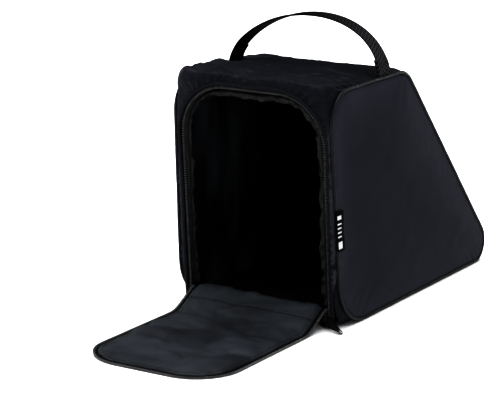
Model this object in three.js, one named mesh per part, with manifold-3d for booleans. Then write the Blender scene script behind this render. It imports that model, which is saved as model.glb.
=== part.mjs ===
// A walking-boot bag: a wedge-shaped fabric case with a zipped front flap that lets
// down onto the floor, two padded sides edged with piping, and one webbing handle.
// Millimetres, +Z up. The origin is on the floor at the middle of the base, the front
// faces -Y and the right side +X. The flap is drawn open, lying in front of the bag.
import * as THREE from "three";
import { mergeVertices } from "three/addons/utils/BufferGeometryUtils.js";
import Module from "manifold-3d";

const wasm = await Module();
wasm.setup();

// ---------------------------------------------------------------- driving dimensions
const BASE_LENGTH = 380; // at the floor, between the extended front and back edges
const TOP_LENGTH = 172; // at the top, between the same edges
const HEIGHT = 264; // at the sides
const CROWN = { front: 6, back: 1.5 }; // how much higher the top's edges are in the middle
const CROWN_POWER = 5; // how flat the crown is before it drops to the sides
const OVERHANG = 20; // how far the front edge leans out at the top
const BASE_WIDTH = 212;
const TOP_WIDTH = 200;

// Corner radii of the side panels, and of the wrap half way between them.
const SIDE_RADIUS = { frontBottom: 56, frontTop: 38, backTop: 40, backBottom: 25 };
const MIDDLE_RADIUS = { frontBottom: 12, frontTop: 6.5, backTop: 40, backBottom: 25 };
const RADIUS_POWER = { frontBottom: 12, frontTop: 18, backTop: 2, backBottom: 2 };

// Layers of the walls, as depths below the outer face.
const CLOTH = [0, 1.0];
const FOAM = [1.3, 3.8];
const LINING = [4.1, 4.8];
const GAP = 0.3; // air left between pieces that touch

const PIPING_RADIUS = 1.6;
const PIPING_INSET = 1.9; // from both outer faces to the cord's centre
const SIDE_INSET = 3.9; // a side panel's edge, clear of the piping
const WRAP_SIDE_GAP = 3.9; // the wrap's cloth stops this far inside the side's face
const WRAP_LAYER_GAP = 5.2; // and its foam and lining this far
const BINDING_INSET = 7.4; // centre of the tape that covers the seam inside
const BINDING_HALF = 1.5;

// The zip runs along an upside-down U in the plane of the front.
const ZIP_HALF = 88; // from the middle of the bag to each leg
const ZIP_TOP = 255; // up the front from the floor
const ZIP_RADIUS = 54;
const CHAIN = [0.8, 3.8]; // the teeth, as distances from the line where they meet
const TAPE = [4.1, 8.4];
const CLOTH_EDGE = 6; // the cloth's folded edge, from the same line
const CHAIN_FACES = [-2.9, -0.3]; // the teeth's back and front, out from the front face
const TAPE_FACES = [-1.9, -1.3];
const MID_FACE = -1.6; // the middle of the teeth and of the flap's thickness
const ZIP_END = 7; // the lower ends of the zip
const ZIP_SLOT_END = 4.8; // the cloth is cut down to here for them
const ZIP_STOP = 1.5; // the height of a stop
const TAIL_INSET = 1; // a tail stops this far inside the tape's edge
const BAFFLE = { outside: 7.5, inside: 9, aboveHinge: 2, faces: [-5.3, -4.8] };
const CUT_DEPTH = 20; // each way, for the tool that cuts the opening

// The flap turns about the sill and folds once more where it reaches the floor.
const SILL_TOP = 19.5;
const FLAP_HINGE = 22.5;
const FLAP_FOLD = 66.5;
const FLAP_FLOOR_GAP = 0.2;
const FLAP_END_GAP = 0.5; // from a fold to the pieces above it
const FLAP_STRIP_GAP = 0.8; // and to the pieces below it
const FLAP_LAYERS = { cloth: [-1.0, 0], foam: [-2.5, -1.3], lining: [-3.4, -2.8] };
const FLAP_FOAM_EDGE = 9.4; // clear of the tape

const SLIDER = { length: 11, halfWidth: 5.5, wall: 1.2, centre: 12, play: 0.4, overlap: 0.1 };
const SLIDER_DIVIDER = { halfWidth: 0.45, start: 2, end: 0.5 }; // between the two rows of teeth
const SLIDER_CROWN = { halfWidth: 0.8, legs: [1.4, 2.6], height: 2.2, wall: 1.1 };
const BAIL = { pivot: 13.8, face: 3.2, wire: 0.55, halfWidth: 3.4, length: 4.6 };
const RIBBON = { width: 8, thickness: 1.4, length: 12.5, swing: 68 };

const HANDLE = {
  y: -87, width: 25, thickness: 1.6, halfSpan: 97.5, rise: 61.5,
  slant: 8, // how far its top lies over to the right
  shape: [2.05, 0.6], stub: 7.4, stubGap: 0.6, pivot: 21.2, spare: 5,
};
const LABEL = { bottom: 90, height: 45, width: 13, thickness: 0.9, frontInset: 0.5 };

// ---------------------------------------------------------------- the wedge's outline
const FRONT_Y = -BASE_LENGTH / 2;
const LEAN = Math.atan(OVERHANG / HEIGHT);
const SIDE_TILT = Math.atan((BASE_WIDTH - TOP_WIDTH) / 2 / HEIGHT);
const CORNER_NAMES = ["frontBottom", "frontTop", "backTop", "backBottom"];
const ARC_STEPS = 7;

const at = (y, z) => new THREE.Vector2(y, z);

// The wedge's corners at u, from -1 at the left side to 1 at the right.
function wedgeCorners(u) {
  const share = 1 - Math.abs(u) ** CROWN_POWER;
  const top = HEIGHT + CROWN.front * share;
  const back = HEIGHT + CROWN.back * share;
  const front = FRONT_Y - top * Math.tan(LEAN);
  return [at(FRONT_Y, 0), at(front, top), at(front + TOP_LENGTH, back), at(-FRONT_Y, 0)];
}

// Half the bag's width at height z, to the outer face of a side.
const halfWidth = (z) => BASE_WIDTH / 2 - z * Math.tan(SIDE_TILT);

// The same corners, moved inwards by inset.
function insetCorners(u, inset) {
  const corners = wedgeCorners(u);
  return corners.map((corner, i) => {
    const before = corners[(i + 3) % 4].clone().sub(corner).normalize();
    const after = corners[(i + 1) % 4].clone().sub(corner).normalize();
    const half = Math.acos(before.dot(after)) / 2;
    const inwards = before.add(after).normalize();
    return corner.clone().addScaledVector(inwards, inset / Math.sin(half));
  });
}

// The points of one rounded corner, from the edge that comes in to the edge that leaves.
function fillet(corners, i, radius) {
  const corner = corners[i];
  const before = corners[(i + 3) % 4].clone().sub(corner).normalize();
  const after = corners[(i + 1) % 4].clone().sub(corner).normalize();
  const half = Math.acos(before.dot(after)) / 2;
  const inwards = before.clone().add(after).normalize();
  const centre = corner.clone().addScaledVector(inwards, radius / Math.sin(half));
  const start = corner.clone().addScaledVector(before, radius / Math.tan(half)).sub(centre);
  const turn = -(Math.PI - 2 * half);
  return Array.from({ length: ARC_STEPS + 1 }, (_, k) =>
    start.clone().rotateAround(at(0, 0), (turn * k) / ARC_STEPS).add(centre),
  );
}

// The whole outline of a side, moved inwards by inset, as a closed loop of points.
function outline(inset) {
  const corners = insetCorners(1, inset);
  return CORNER_NAMES.flatMap((name, i) => fillet(corners, i, SIDE_RADIUS[name] - inset));
}

// The wrap's corner radius at u.
function wrapRadius(name, u) {
  const share = Math.abs(u) ** RADIUS_POWER[name];
  return THREE.MathUtils.lerp(MIDDLE_RADIUS[name], SIDE_RADIUS[name], share);
}

const wrapArc = (name, u, inset) => {
  const radius = Math.max(wrapRadius(name, u) - inset, 1);
  return fillet(insetCorners(u, inset), CORNER_NAMES.indexOf(name), radius);
};

// A point of the front's plane: up along it, and out from its outer face.
const frontPoint = (up, out) =>
  at(FRONT_Y - up * Math.sin(LEAN) - out * Math.cos(LEAN),
    up * Math.cos(LEAN) - out * Math.sin(LEAN));

// How far up the front the base's cloth reaches at u.
function frontSeam(u) {
  const rise = wrapRadius("frontBottom", u) - MIDDLE_RADIUS.frontBottom;
  return SILL_TOP + 3 + rise / Math.tan(Math.PI / 4 + LEAN / 2);
}

// ---------------------------------------------------------------- mesh helpers
// A closed geometry from a grid of points and the quads between them.
function closedGeometry(vertices, quads) {
  const geometry = new THREE.BufferGeometry();
  geometry.setAttribute("position", new THREE.Float32BufferAttribute(vertices, 3));
  geometry.setIndex(quads.flatMap(([a, b, c, d]) => [a, b, c, a, c, d]));
  const flat = geometry.toNonIndexed();
  flat.computeVertexNormals();
  return flat;
}

// A sheet with thickness: outer[i][j] and inner[i][j] are its two faces.
function sheetGeometry(outer, inner) {
  const rows = outer.length;
  const columns = outer[0].length;
  const layer = rows * columns;
  const vertices = [...outer.flat(), ...inner.flat()].flatMap((p) => [p.x, p.y, p.z]);
  const quads = [];
  const index = (i, j) => i * columns + j;
  for (let i = 0; i < rows - 1; i++)
    for (let j = 0; j < columns - 1; j++) {
      const q = [index(i, j), index(i + 1, j), index(i + 1, j + 1), index(i, j + 1)];
      quads.push(q, q.map((k) => k + layer).reverse());
    }
  const wall = (a, b) => quads.push([a, a + layer, b + layer, b]);
  for (let j = 0; j < columns - 1; j++) {
    wall(index(0, j + 1), index(0, j));
    wall(index(rows - 1, j), index(rows - 1, j + 1));
  }
  for (let i = 0; i < rows - 1; i++) {
    wall(index(i, 0), index(i + 1, 0));
    wall(index(i + 1, columns - 1), index(i, columns - 1));
  }
  return closedGeometry(vertices, quads);
}

// A loop round the side's outline, of the section whose points are (across, inset).
function loopGeometry(section) {
  const loops = section.map(([across, inset]) => outline(inset).map((p) =>
    new THREE.Vector3(across, p.x, p.y)));
  const count = loops[0].length;
  const vertices = loops.flat().flatMap((p) => [p.x, p.y, p.z]);
  const quads = [];
  for (let i = 0; i < loops.length; i++)
    for (let j = 0; j < count; j++) {
      const i2 = (i + 1) % loops.length;
      const j2 = (j + 1) % count;
      quads.push([i * count + j, i2 * count + j, i2 * count + j2, i * count + j2]);
    }
  return closedGeometry(vertices, quads);
}

// A plate in the front's plane, drawn as (x, up) and thick between two faces.
function frontPlate(shape, [back, front], curveSegments = 10) {
  const geometry = new THREE.ExtrudeGeometry(shape, {
    depth: front - back, bevelEnabled: false, curveSegments,
  });
  return geometry.rotateX(Math.PI / 2).translate(0, -back, 0);
}

const solidOf = (geometry) => {
  const bare = new THREE.BufferGeometry();
  const source = geometry.index ? geometry.toNonIndexed() : geometry;
  bare.setAttribute("position", source.getAttribute("position"));
  const merged = mergeVertices(bare, 1e-3);
  return new wasm.Manifold(new wasm.Mesh({
    numProp: 3,
    vertProperties: merged.getAttribute("position").array,
    triVerts: new Uint32Array(merged.index.array),
  }));
};

const geometryOf = (solid) => {
  const mesh = solid.getMesh();
  const geometry = new THREE.BufferGeometry();
  geometry.setAttribute("position", new THREE.BufferAttribute(mesh.vertProperties, 3));
  geometry.setIndex(new THREE.BufferAttribute(mesh.triVerts, 1));
  const flat = geometry.toNonIndexed();
  flat.computeVertexNormals();
  return flat;
};

const cut = (a, b) => geometryOf(solidOf(a).subtract(solidOf(b)));
const join = (...all) => geometryOf(all.map(solidOf).reduce((a, b) => a.add(b)));

function box([x0, x1], [y0, y1], [z0, z1]) {
  return new THREE.BoxGeometry(x1 - x0, y1 - y0, z1 - z0)
    .translate((x0 + x1) / 2, (y0 + y1) / 2, (z0 + z1) / 2);
}

// ---------------------------------------------------------------- materials
const material = (color, roughness, metalness = 0) =>
  new THREE.MeshStandardMaterial({ color, roughness, metalness });
const MATERIALS = {
  nylon: material(0x15161a, 0.55),
  nylonSide: material(0x202126, 0.5),
  lining: material(0x0e0f13, 0.6),
  foam: material(0x3a3b3e, 0.95),
  board: material(0x2a2b2d, 0.8),
  piping: material(0x101114, 0.5),
  webbing: material(0x141518, 0.85),
  zipTape: material(0x121316, 0.8),
  zipTeeth: material(0x1c1d20, 0.4),
  zipMetal: material(0x17181a, 0.35, 0.9),
  label: material(0x0c0d10, 0.6),
};

const bag = new THREE.Group();
function add(parent, name, finish, geometry) {
  const mesh = new THREE.Mesh(geometry, MATERIALS[finish]);
  mesh.name = name;
  parent.add(mesh);
  return mesh;
}

// ---------------------------------------------------------------- the two sides
function sideGroup(side) {
  const group = new THREE.Group();
  group.position.x = (side * BASE_WIDTH) / 2;
  group.rotation.y = -side * SIDE_TILT;
  bag.add(group);
  return group;
}

// A plate of the side's outline, between two depths below the side's outer face.
function sidePlate(side, [near, far], inset) {
  const geometry = new THREE.ExtrudeGeometry(new THREE.Shape(outline(inset)), {
    depth: far - near, bevelEnabled: false,
  });
  const turned = new THREE.Matrix4().makeBasis(
    new THREE.Vector3(0, 1, 0), new THREE.Vector3(0, 0, 1), new THREE.Vector3(1, 0, 0),
  );
  return geometry.applyMatrix4(turned).translate(side > 0 ? -far : near, 0, 0);
}

// A closed section round (across, inset), facing the right way for that side.
function section(side, centre, radius, sides) {
  return Array.from({ length: sides }, (_, k) => {
    const angle = (2 * Math.PI * (k + 0.5)) / sides;
    return [-side * centre + radius * Math.cos(angle), centre + radius * Math.sin(angle)];
  });
}

function makeSide(side, name) {
  const group = sideGroup(side);
  add(group, `side_panel_${name}`, "nylonSide", sidePlate(side, CLOTH, SIDE_INSET));
  add(group, `side_foam_${name}`, "foam", sidePlate(side, FOAM, SIDE_INSET + GAP));
  add(group, `side_lining_${name}`, "lining", sidePlate(side, LINING, SIDE_INSET + GAP));
  add(group, `piping_${name}`, "piping",
    loopGeometry(section(side, PIPING_INSET, PIPING_RADIUS, 8)));
  add(group, `seam_binding_${name}`, "webbing",
    loopGeometry(section(side, BINDING_INSET, BINDING_HALF * Math.SQRT2, 4)));
  return group;
}

function makeLabel(group) {
  const { bottom, height, width, thickness, frontInset } = LABEL;
  const seam = frontPoint(bottom + height / 2, -frontInset);
  add(group, "side_label", "label",
    box([GAP, GAP + thickness], [seam.x, seam.x + width], [bottom, bottom + height]));
}

// ---------------------------------------------------------------- the wrap
const WRAP_COLUMNS = [0, 0.3, 0.5, 0.62, 0.72, 0.8, 0.86, 0.91, 0.95, 0.98, 1];
const COLUMNS = [...WRAP_COLUMNS.slice(1).map((u) => -u).reverse(), ...WRAP_COLUMNS];

// Each run gives the points of one panel's profile at u, below the outer face by inset.
const shift = (from, to, by) =>
  from.clone().addScaledVector(to.clone().sub(from).normalize(), by);

const RUNS = {
  front(u, inset) {
    const start = frontPoint(frontSeam(u) + GAP, -inset);
    return [start, ...wrapArc("frontTop", u, inset)];
  },
  top(u, inset) {
    const from = wrapArc("frontTop", u, inset).at(-1);
    const to = wrapArc("backTop", u, inset)[0];
    return [shift(from, to, GAP), shift(to, from, GAP)];
  },
  back(u, inset) {
    const arc = wrapArc("backTop", u, inset);
    const end = wrapArc("backBottom", u, inset)[0];
    return [...arc, shift(end, arc.at(-1), GAP)];
  },
  base(u, inset) {
    const back = wrapArc("backBottom", u, inset);
    const front = wrapArc("frontBottom", u, inset);
    return [...back, ...front, frontPoint(frontSeam(u), -inset)];
  },
  // Only the flat floor, for what lies on it.
  floor(u, inset) {
    const from = wrapArc("backBottom", u, inset).at(-1);
    const to = wrapArc("frontBottom", u, inset)[0];
    return [shift(from, to, GAP), shift(to, from, GAP)];
  },
};

function wrapSheet(run, [near, far], sideGap) {
  const face = (inset) => COLUMNS.map((u) => RUNS[run](u, inset).map((p) =>
    new THREE.Vector3(u * (halfWidth(p.y) - sideGap), p.x, p.y)));
  return sheetGeometry(face(near), face(far));
}

// The hole in the front: the U, and a slot down each leg for the zip's ends.
function openingShape(edge) {
  const half = ZIP_HALF + edge;
  const inner = ZIP_HALF - edge;
  const top = ZIP_TOP + edge;
  const radius = ZIP_RADIUS + edge;
  const low = ZIP_SLOT_END;
  const shape = new THREE.Shape();
  shape.moveTo(half, low);
  shape.lineTo(half, top - radius);
  shape.absarc(half - radius, top - radius, radius, 0, Math.PI / 2, false);
  shape.absarc(-half + radius, top - radius, radius, Math.PI / 2, Math.PI, false);
  shape.lineTo(-half, low);
  shape.lineTo(-inner, low);
  shape.lineTo(-inner, SILL_TOP);
  shape.lineTo(inner, SILL_TOP);
  shape.lineTo(inner, low);
  return shape;
}

function makeWrap() {
  const opening = (edge) => frontPlate(openingShape(edge), [-CUT_DEPTH, CUT_DEPTH], 12)
    .rotateX(LEAN).translate(0, FRONT_Y, 0);
  const cloth = (run) => wrapSheet(run, CLOTH, WRAP_SIDE_GAP);
  add(bag, "front_panel", "nylon", cut(cloth("front"), opening(CLOTH_EDGE)));
  add(bag, "top_panel", "nylon", cloth("top"));
  add(bag, "back_panel", "nylon", cloth("back"));
  add(bag, "base_panel", "nylon", cut(cloth("base"), opening(TAPE[1] + GAP)));
  for (const run of ["top", "back"]) {
    add(bag, `${run}_foam`, "foam", wrapSheet(run, FOAM, WRAP_LAYER_GAP));
    add(bag, `${run}_lining`, "lining", wrapSheet(run, LINING, WRAP_LAYER_GAP));
  }
  add(bag, "base_board", "board", wrapSheet("floor", FOAM, WRAP_LAYER_GAP));
  add(bag, "base_lining", "lining", wrapSheet("floor", LINING, WRAP_LAYER_GAP));
}

// ---------------------------------------------------------------- the front's plane
const front = new THREE.Group();
front.position.y = FRONT_Y;
front.rotation.x = LEAN;
bag.add(front);

// A band that follows the zip's U between two distances from its line, outwards.
function zipBand(near, far, low) {
  const shape = new THREE.Shape();
  const leg = (edge) => ZIP_HALF + edge;
  const springs = ZIP_TOP - ZIP_RADIUS;
  const centre = ZIP_HALF - ZIP_RADIUS;
  shape.moveTo(leg(far), low);
  shape.lineTo(leg(far), springs);
  shape.absarc(centre, springs, ZIP_RADIUS + far, 0, Math.PI / 2, false);
  shape.absarc(-centre, springs, ZIP_RADIUS + far, Math.PI / 2, Math.PI, false);
  shape.lineTo(-leg(far), low);
  shape.lineTo(-leg(near), low);
  shape.lineTo(-leg(near), springs);
  shape.absarc(-centre, springs, ZIP_RADIUS + near, Math.PI, Math.PI / 2, true);
  shape.absarc(centre, springs, ZIP_RADIUS + near, Math.PI / 2, 0, true);
  shape.lineTo(leg(near), low);
  return shape;
}

function rectangle(x0, x1, z0, z1) {
  const shape = new THREE.Shape();
  shape.moveTo(x0, z0);
  shape.lineTo(x1, z0);
  shape.lineTo(x1, z1);
  shape.lineTo(x0, z1);
  return shape;
}

// A rectangle given by distances inwards from one leg of the zip.
const legRectangle = (side, near, far, z0, z1) =>
  side > 0
    ? rectangle(ZIP_HALF - far, ZIP_HALF - near, z0, z1)
    : rectangle(near - ZIP_HALF, far - ZIP_HALF, z0, z1);

function makeBagZip() {
  add(front, "zip_teeth_bag", "zipTeeth", frontPlate(zipBand(...CHAIN, ZIP_END), CHAIN_FACES));
  add(front, "zip_tape_bag", "zipTape", frontPlate(zipBand(...TAPE, ZIP_END), TAPE_FACES));
  const baffle = zipBand(-BAFFLE.inside, BAFFLE.outside, FLAP_HINGE + BAFFLE.aboveHinge);
  add(front, "zip_baffle", "nylon", frontPlate(baffle, BAFFLE.faces));
  for (const [side, name] of [[1, "right"], [-1, "left"]]) {
    const tail = legRectangle(side, CHAIN[0], TAPE[1] - TAIL_INSET, ZIP_END, SILL_TOP);
    add(front, `zip_tail_${name}`, "zipTape", frontPlate(tail, TAPE_FACES));
    const stop = legRectangle(side, -CHAIN[1], CHAIN[1], ZIP_END - GAP - ZIP_STOP, ZIP_END - GAP);
    add(front, `zip_stop_${name}`, "zipMetal", frontPlate(stop, CHAIN_FACES));
  }
}

// ---------------------------------------------------------------- the flap
const HINGE_HEIGHT = frontPoint(FLAP_HINGE, MID_FACE).y;
const FLAP_DROP = HINGE_HEIGHT - FLAP_FLOOR_GAP + MID_FACE;
const SLOPE = Math.asin(FLAP_DROP / (FLAP_FOLD - FLAP_HINGE));
const OPEN_ANGLE = Math.PI / 2 - LEAN + SLOPE;

// A group whose children keep the front's coordinates, turned about a line of the front.
function turned(parent, up, angle) {
  const pivot = new THREE.Group();
  pivot.position.set(0, -MID_FACE, up);
  pivot.rotation.x = angle;
  const inner = new THREE.Group();
  inner.position.set(0, MID_FACE, -up);
  pivot.add(inner);
  parent.add(pivot);
  return inner;
}

// The flap's outline above a line, with its edge inside the zip's line.
function flapShape(edge, low) {
  const half = ZIP_HALF - edge;
  const springs = ZIP_TOP - ZIP_RADIUS;
  const shape = new THREE.Shape();
  shape.moveTo(-half, low);
  shape.lineTo(half, low);
  shape.lineTo(half, springs);
  shape.absarc(ZIP_HALF - ZIP_RADIUS, springs, ZIP_RADIUS - edge, 0, Math.PI / 2, false);
  shape.absarc(ZIP_RADIUS - ZIP_HALF, springs, ZIP_RADIUS - edge, Math.PI / 2, Math.PI, false);
  return shape;
}

function makeFlap() {
  const root = turned(front, FLAP_HINGE, OPEN_ANGLE);
  const low = FLAP_HINGE + FLAP_END_GAP;
  const high = FLAP_FOLD - FLAP_STRIP_GAP;
  const strip = (edge) => rectangle(edge - ZIP_HALF, ZIP_HALF - edge, low, high);
  add(root, "hinge_panel", "nylon", frontPlate(strip(CLOTH_EDGE), FLAP_LAYERS.cloth));
  add(root, "hinge_lining", "lining", frontPlate(strip(CLOTH_EDGE), FLAP_LAYERS.lining));
  for (const [side, name] of [[1, "right"], [-1, "left"]]) {
    add(root, `hinge_teeth_${name}`, "zipTeeth",
      frontPlate(legRectangle(side, ...CHAIN, low, high), CHAIN_FACES));
    add(root, `hinge_tape_${name}`, "zipTape",
      frontPlate(legRectangle(side, ...TAPE, low, high), TAPE_FACES));
  }
  const flap = turned(root, FLAP_FOLD, -SLOPE);
  const foot = FLAP_FOLD + FLAP_END_GAP;
  const inwards = ([near, far]) => zipBand(-far, -near, foot);
  add(flap, "flap_panel", "nylon", frontPlate(flapShape(CLOTH_EDGE, foot), FLAP_LAYERS.cloth));
  add(flap, "flap_foam", "foam", frontPlate(flapShape(FLAP_FOAM_EDGE, foot), FLAP_LAYERS.foam));
  add(flap, "flap_lining", "lining",
    frontPlate(flapShape(CLOTH_EDGE, foot), FLAP_LAYERS.lining));
  add(flap, "flap_teeth", "zipTeeth", frontPlate(inwards(CHAIN), CHAIN_FACES));
  add(flap, "flap_tape", "zipTape", frontPlate(inwards(TAPE), TAPE_FACES));
}

// ---------------------------------------------------------------- slider and pull
function makeSlider() {
  const { length, halfWidth: half, wall, centre, play, overlap } = SLIDER;
  const along = [centre - length / 2, centre + length / 2];
  const place = (x0, x1, z0, z1, faces) =>
    frontPlate(rectangle(ZIP_HALF + x0, ZIP_HALF + x1, z0, z1), faces);
  const frontFace = CHAIN_FACES[1] + play;
  const backFace = CHAIN_FACES[0] - play;
  const throughout = [backFace - overlap, frontFace + overlap];
  const divider = [centre + SLIDER_DIVIDER.start, along[1] - SLIDER_DIVIDER.end];
  const parts = [
    place(-half, half, ...along, [frontFace, frontFace + wall]),
    place(-half, half, ...along, [backFace - wall, backFace]),
    place(-SLIDER_DIVIDER.halfWidth, SLIDER_DIVIDER.halfWidth, ...divider, throughout),
  ];
  for (const [x0, x1] of [[-half, -half + wall], [half - wall, half]]) {
    parts.push(place(x0, x1, ...along, [TAPE_FACES[1] + play, throughout[1]]));
    parts.push(place(x0, x1, ...along, [throughout[0], TAPE_FACES[0] - play]));
  }
  // The crown: an arch along the slider that holds the bail's wire.
  const { halfWidth: crownHalf, legs: [inner, outer], height, wall: crownWall } = SLIDER_CROWN;
  const top = frontFace + wall - overlap;
  const reach = BAIL.face + height;
  const arch = (z0, z1, faces) =>
    place(-crownHalf, crownHalf, BAIL.pivot + z0, BAIL.pivot + z1, faces);
  parts.push(arch(-outer, -inner, [top, reach]));
  parts.push(arch(inner, outer, [top, reach]));
  parts.push(arch(-outer, outer, [reach - crownWall, reach]));
  add(front, "slider", "zipMetal", join(...parts));
}

// A closed wire rectangle that hangs from the slider's crown.
function makeBail() {
  const { pivot, face, wire, halfWidth: half, length } = BAIL;
  const hole = rectangle(ZIP_HALF - half + 2 * wire, ZIP_HALF + half - 2 * wire,
    pivot - length + 2 * wire, pivot - wire);
  const shape = rectangle(ZIP_HALF - half, ZIP_HALF + half, pivot - length, pivot + wire);
  shape.holes.push(hole);
  add(front, "pull_bail", "zipMetal", frontPlate(shape, [face - wire, face + wire]));
}

function makeRibbon() {
  const low = BAIL.pivot - BAIL.length;
  const pivot = new THREE.Group();
  const face = BAIL.face + BAIL.wire + GAP + RIBBON.thickness / 2;
  pivot.position.set(ZIP_HALF, -face, low + GAP);
  pivot.rotation.y = -THREE.MathUtils.degToRad(RIBBON.swing);
  front.add(pivot);
  const half = RIBBON.width / 2;
  const thick = RIBBON.thickness / 2;
  const shape = new THREE.Shape();
  shape.moveTo(-half, -RIBBON.length);
  shape.lineTo(half, -RIBBON.length);
  shape.lineTo(half, -half);
  shape.absarc(0, -half, half, 0, Math.PI, false);
  add(pivot, "pull_ribbon", "webbing", frontPlate(shape, [-thick, thick], 6));
}

// ---------------------------------------------------------------- handle
// The handle's height above its ends, at x.
function archHeight(x, halfSpan, rise) {
  const [power, root] = HANDLE.shape;
  return rise * Math.max(0, 1 - Math.abs(x / halfSpan) ** power) ** root;
}

// A point of the arch, moved over by the handle's slant.
const slanted = (x, height) => at(x + (HANDLE.slant * height) / HANDLE.rise, height);

function archPoints(halfSpan, rise, steps) {
  return Array.from({ length: steps + 1 }, (_, k) => {
    const x = -halfSpan * Math.cos((Math.PI * k) / steps);
    return slanted(x, archHeight(x, halfSpan, rise));
  });
}

function makeHandle() {
  const { y, width, thickness, halfSpan, rise, stub, stubGap, pivot, spare } = HANDLE;
  const steps = 35; // an odd number, so that one flat facet lies across the middle
  const outer = archPoints(halfSpan, rise, steps);
  const inner = archPoints(halfSpan - thickness, rise - thickness, steps).reverse();
  const low = stub + stubGap;
  const above = (points) => points.filter((p) => p.y > low);
  const shape = new THREE.Shape([
    slanted(-halfSpan, low), ...above(outer), slanted(halfSpan, low),
    slanted(halfSpan - thickness, low), ...above(inner), slanted(thickness - halfSpan, low),
  ]);
  const strap = new THREE.ExtrudeGeometry(shape, { depth: width, bevelEnabled: false })
    .rotateX(Math.PI / 2).translate(0, width / 2, 0);
  // Below the pivot the strap is rounded, so that it can swing clear of its sewn ends.
  const across = halfSpan + spare;
  const below = box([-across, across], [-width, width], [0, pivot]);
  const round = new THREE.CylinderGeometry(width / 2, width / 2, 2 * (across + spare), 32)
    .rotateZ(Math.PI / 2).translate(0, 0, pivot);
  const group = new THREE.Group();
  group.position.set(0, y, HEIGHT);
  bag.add(group);
  add(group, "handle_strap", "webbing", cut(strap, cut(below, round)));
  for (const [side, name] of [[1, "right"], [-1, "left"]]) {
    const xs = [side * halfSpan, side * (halfSpan - thickness)].sort((a, b) => a - b);
    add(group, `handle_end_${name}`, "webbing",
      box(xs, [-width / 2, width / 2], [GAP, stub]));
  }
}

makeLabel(makeSide(1, "right"));
makeSide(-1, "left");
makeWrap();
makeBagZip();
makeFlap();
makeSlider();
makeBail();
makeRibbon();
makeHandle();

export default bag;
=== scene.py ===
"""A walking-boot bag, standing open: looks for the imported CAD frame. Metres throughout."""
import math
from functools import partial

import bmesh
import bpy
import numpy as np
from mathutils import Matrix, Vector
from mathutils.bvhtree import BVHTree
from mathutils.geometry import delaunay_2d_cdt


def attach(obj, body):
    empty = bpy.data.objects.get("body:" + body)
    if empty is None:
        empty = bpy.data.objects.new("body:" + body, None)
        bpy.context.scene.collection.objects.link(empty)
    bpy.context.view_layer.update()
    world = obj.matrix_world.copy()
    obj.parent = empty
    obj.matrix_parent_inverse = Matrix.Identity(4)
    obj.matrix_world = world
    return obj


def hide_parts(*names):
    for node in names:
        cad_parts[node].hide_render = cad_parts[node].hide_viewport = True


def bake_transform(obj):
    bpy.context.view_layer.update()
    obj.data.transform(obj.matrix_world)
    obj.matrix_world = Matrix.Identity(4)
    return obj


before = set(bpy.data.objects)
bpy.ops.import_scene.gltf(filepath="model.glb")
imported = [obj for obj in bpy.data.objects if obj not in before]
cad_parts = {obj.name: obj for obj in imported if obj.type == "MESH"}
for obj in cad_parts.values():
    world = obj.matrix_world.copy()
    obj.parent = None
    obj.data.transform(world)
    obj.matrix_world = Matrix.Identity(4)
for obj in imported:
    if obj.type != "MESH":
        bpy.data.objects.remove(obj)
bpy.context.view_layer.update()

MM = 0.001
SIDES = ((1, "right"), (-1, "left"))
UP, DOWN = (0, 0, 1), (0, 0, -1)

# ------------------------------------------------------------ the case's driving sizes
BASE_LENGTH = 380 * MM
TOP_LENGTH = 172 * MM
HEIGHT = 264 * MM
CROWN = dict(front=6 * MM, back=1.5 * MM)
CROWN_POWER = 5
OVERHANG = 20 * MM
BASE_WIDTH = 212 * MM
TOP_WIDTH = 200 * MM
CORNERS = ("frontBottom", "frontTop", "backTop", "backBottom")
SIDE_RADIUS = dict(frontBottom=56 * MM, frontTop=38 * MM, backTop=40 * MM, backBottom=25 * MM)
MIDDLE_RADIUS = dict(frontBottom=12 * MM, frontTop=6.5 * MM, backTop=40 * MM, backBottom=25 * MM)
RADIUS_POWER = dict(frontBottom=12, frontTop=18, backTop=2, backBottom=2)
CLOTH = 1.1 * MM            # thickness of the outer cloth
LINING_DEPTH = 4.6 * MM
PIPING_INSET = 1.9 * MM

ZIP_HALF = 88 * MM
ZIP_TOP = 255 * MM
ZIP_RADIUS = 54 * MM
ZIP_END = 7 * MM
MID_FACE = -1.6 * MM        # middle of the zip's and the flap's thickness
CLOTH_EDGE = 6 * MM         # from the zip's line to the folded edge of the cloth
SILL_TOP = 19.5 * MM
FLAP_HINGE = 22.5 * MM
FLAP_FOLD = 66.5 * MM
SLIDER_UP = 12 * MM
PITCH = 2.7 * MM            # between teeth

FRONT_Y = -BASE_LENGTH / 2
LEAN = math.atan(OVERHANG / HEIGHT)
SIDE_TILT = math.atan((BASE_WIDTH - TOP_WIDTH) / 2 / HEIGHT)


# ------------------------------------------------------------ the wedge's outline
def half_width(z):
    """Half the distance between the two sides at a height."""
    return BASE_WIDTH / 2 - z * math.tan(SIDE_TILT)


def wedge_corners(u):
    """The section's four corners in (y, z) at u, which runs from -1 to 1 across the bag."""
    share = 1 - abs(u) ** CROWN_POWER
    top, back = HEIGHT + CROWN["front"] * share, HEIGHT + CROWN["back"] * share
    front = FRONT_Y - top * math.tan(LEAN)
    return np.array([(FRONT_Y, 0), (front, top), (front + TOP_LENGTH, back), (-FRONT_Y, 0)])


def unit(v):
    """A vector made one long."""
    return v / np.linalg.norm(v)


def unit_rows(vectors):
    """Each row made one long."""
    return vectors / np.linalg.norm(vectors, axis=1)[:, None]


def ease(distance, reach):
    """From 0 at no distance to 1 at the reach and beyond."""
    return np.clip(distance / reach, 0, 1)


def distances(points):
    """How far along a line of points each one is."""
    steps = np.linalg.norm(np.diff(points, axis=0), axis=1)
    return np.concatenate([[0], np.cumsum(steps)])


def read_line(at, length, rows):
    """Rows of two numbers, read at distances along their line."""
    return np.column_stack([np.interp(at, length, rows[:, k]) for k in (0, 1)])


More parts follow.
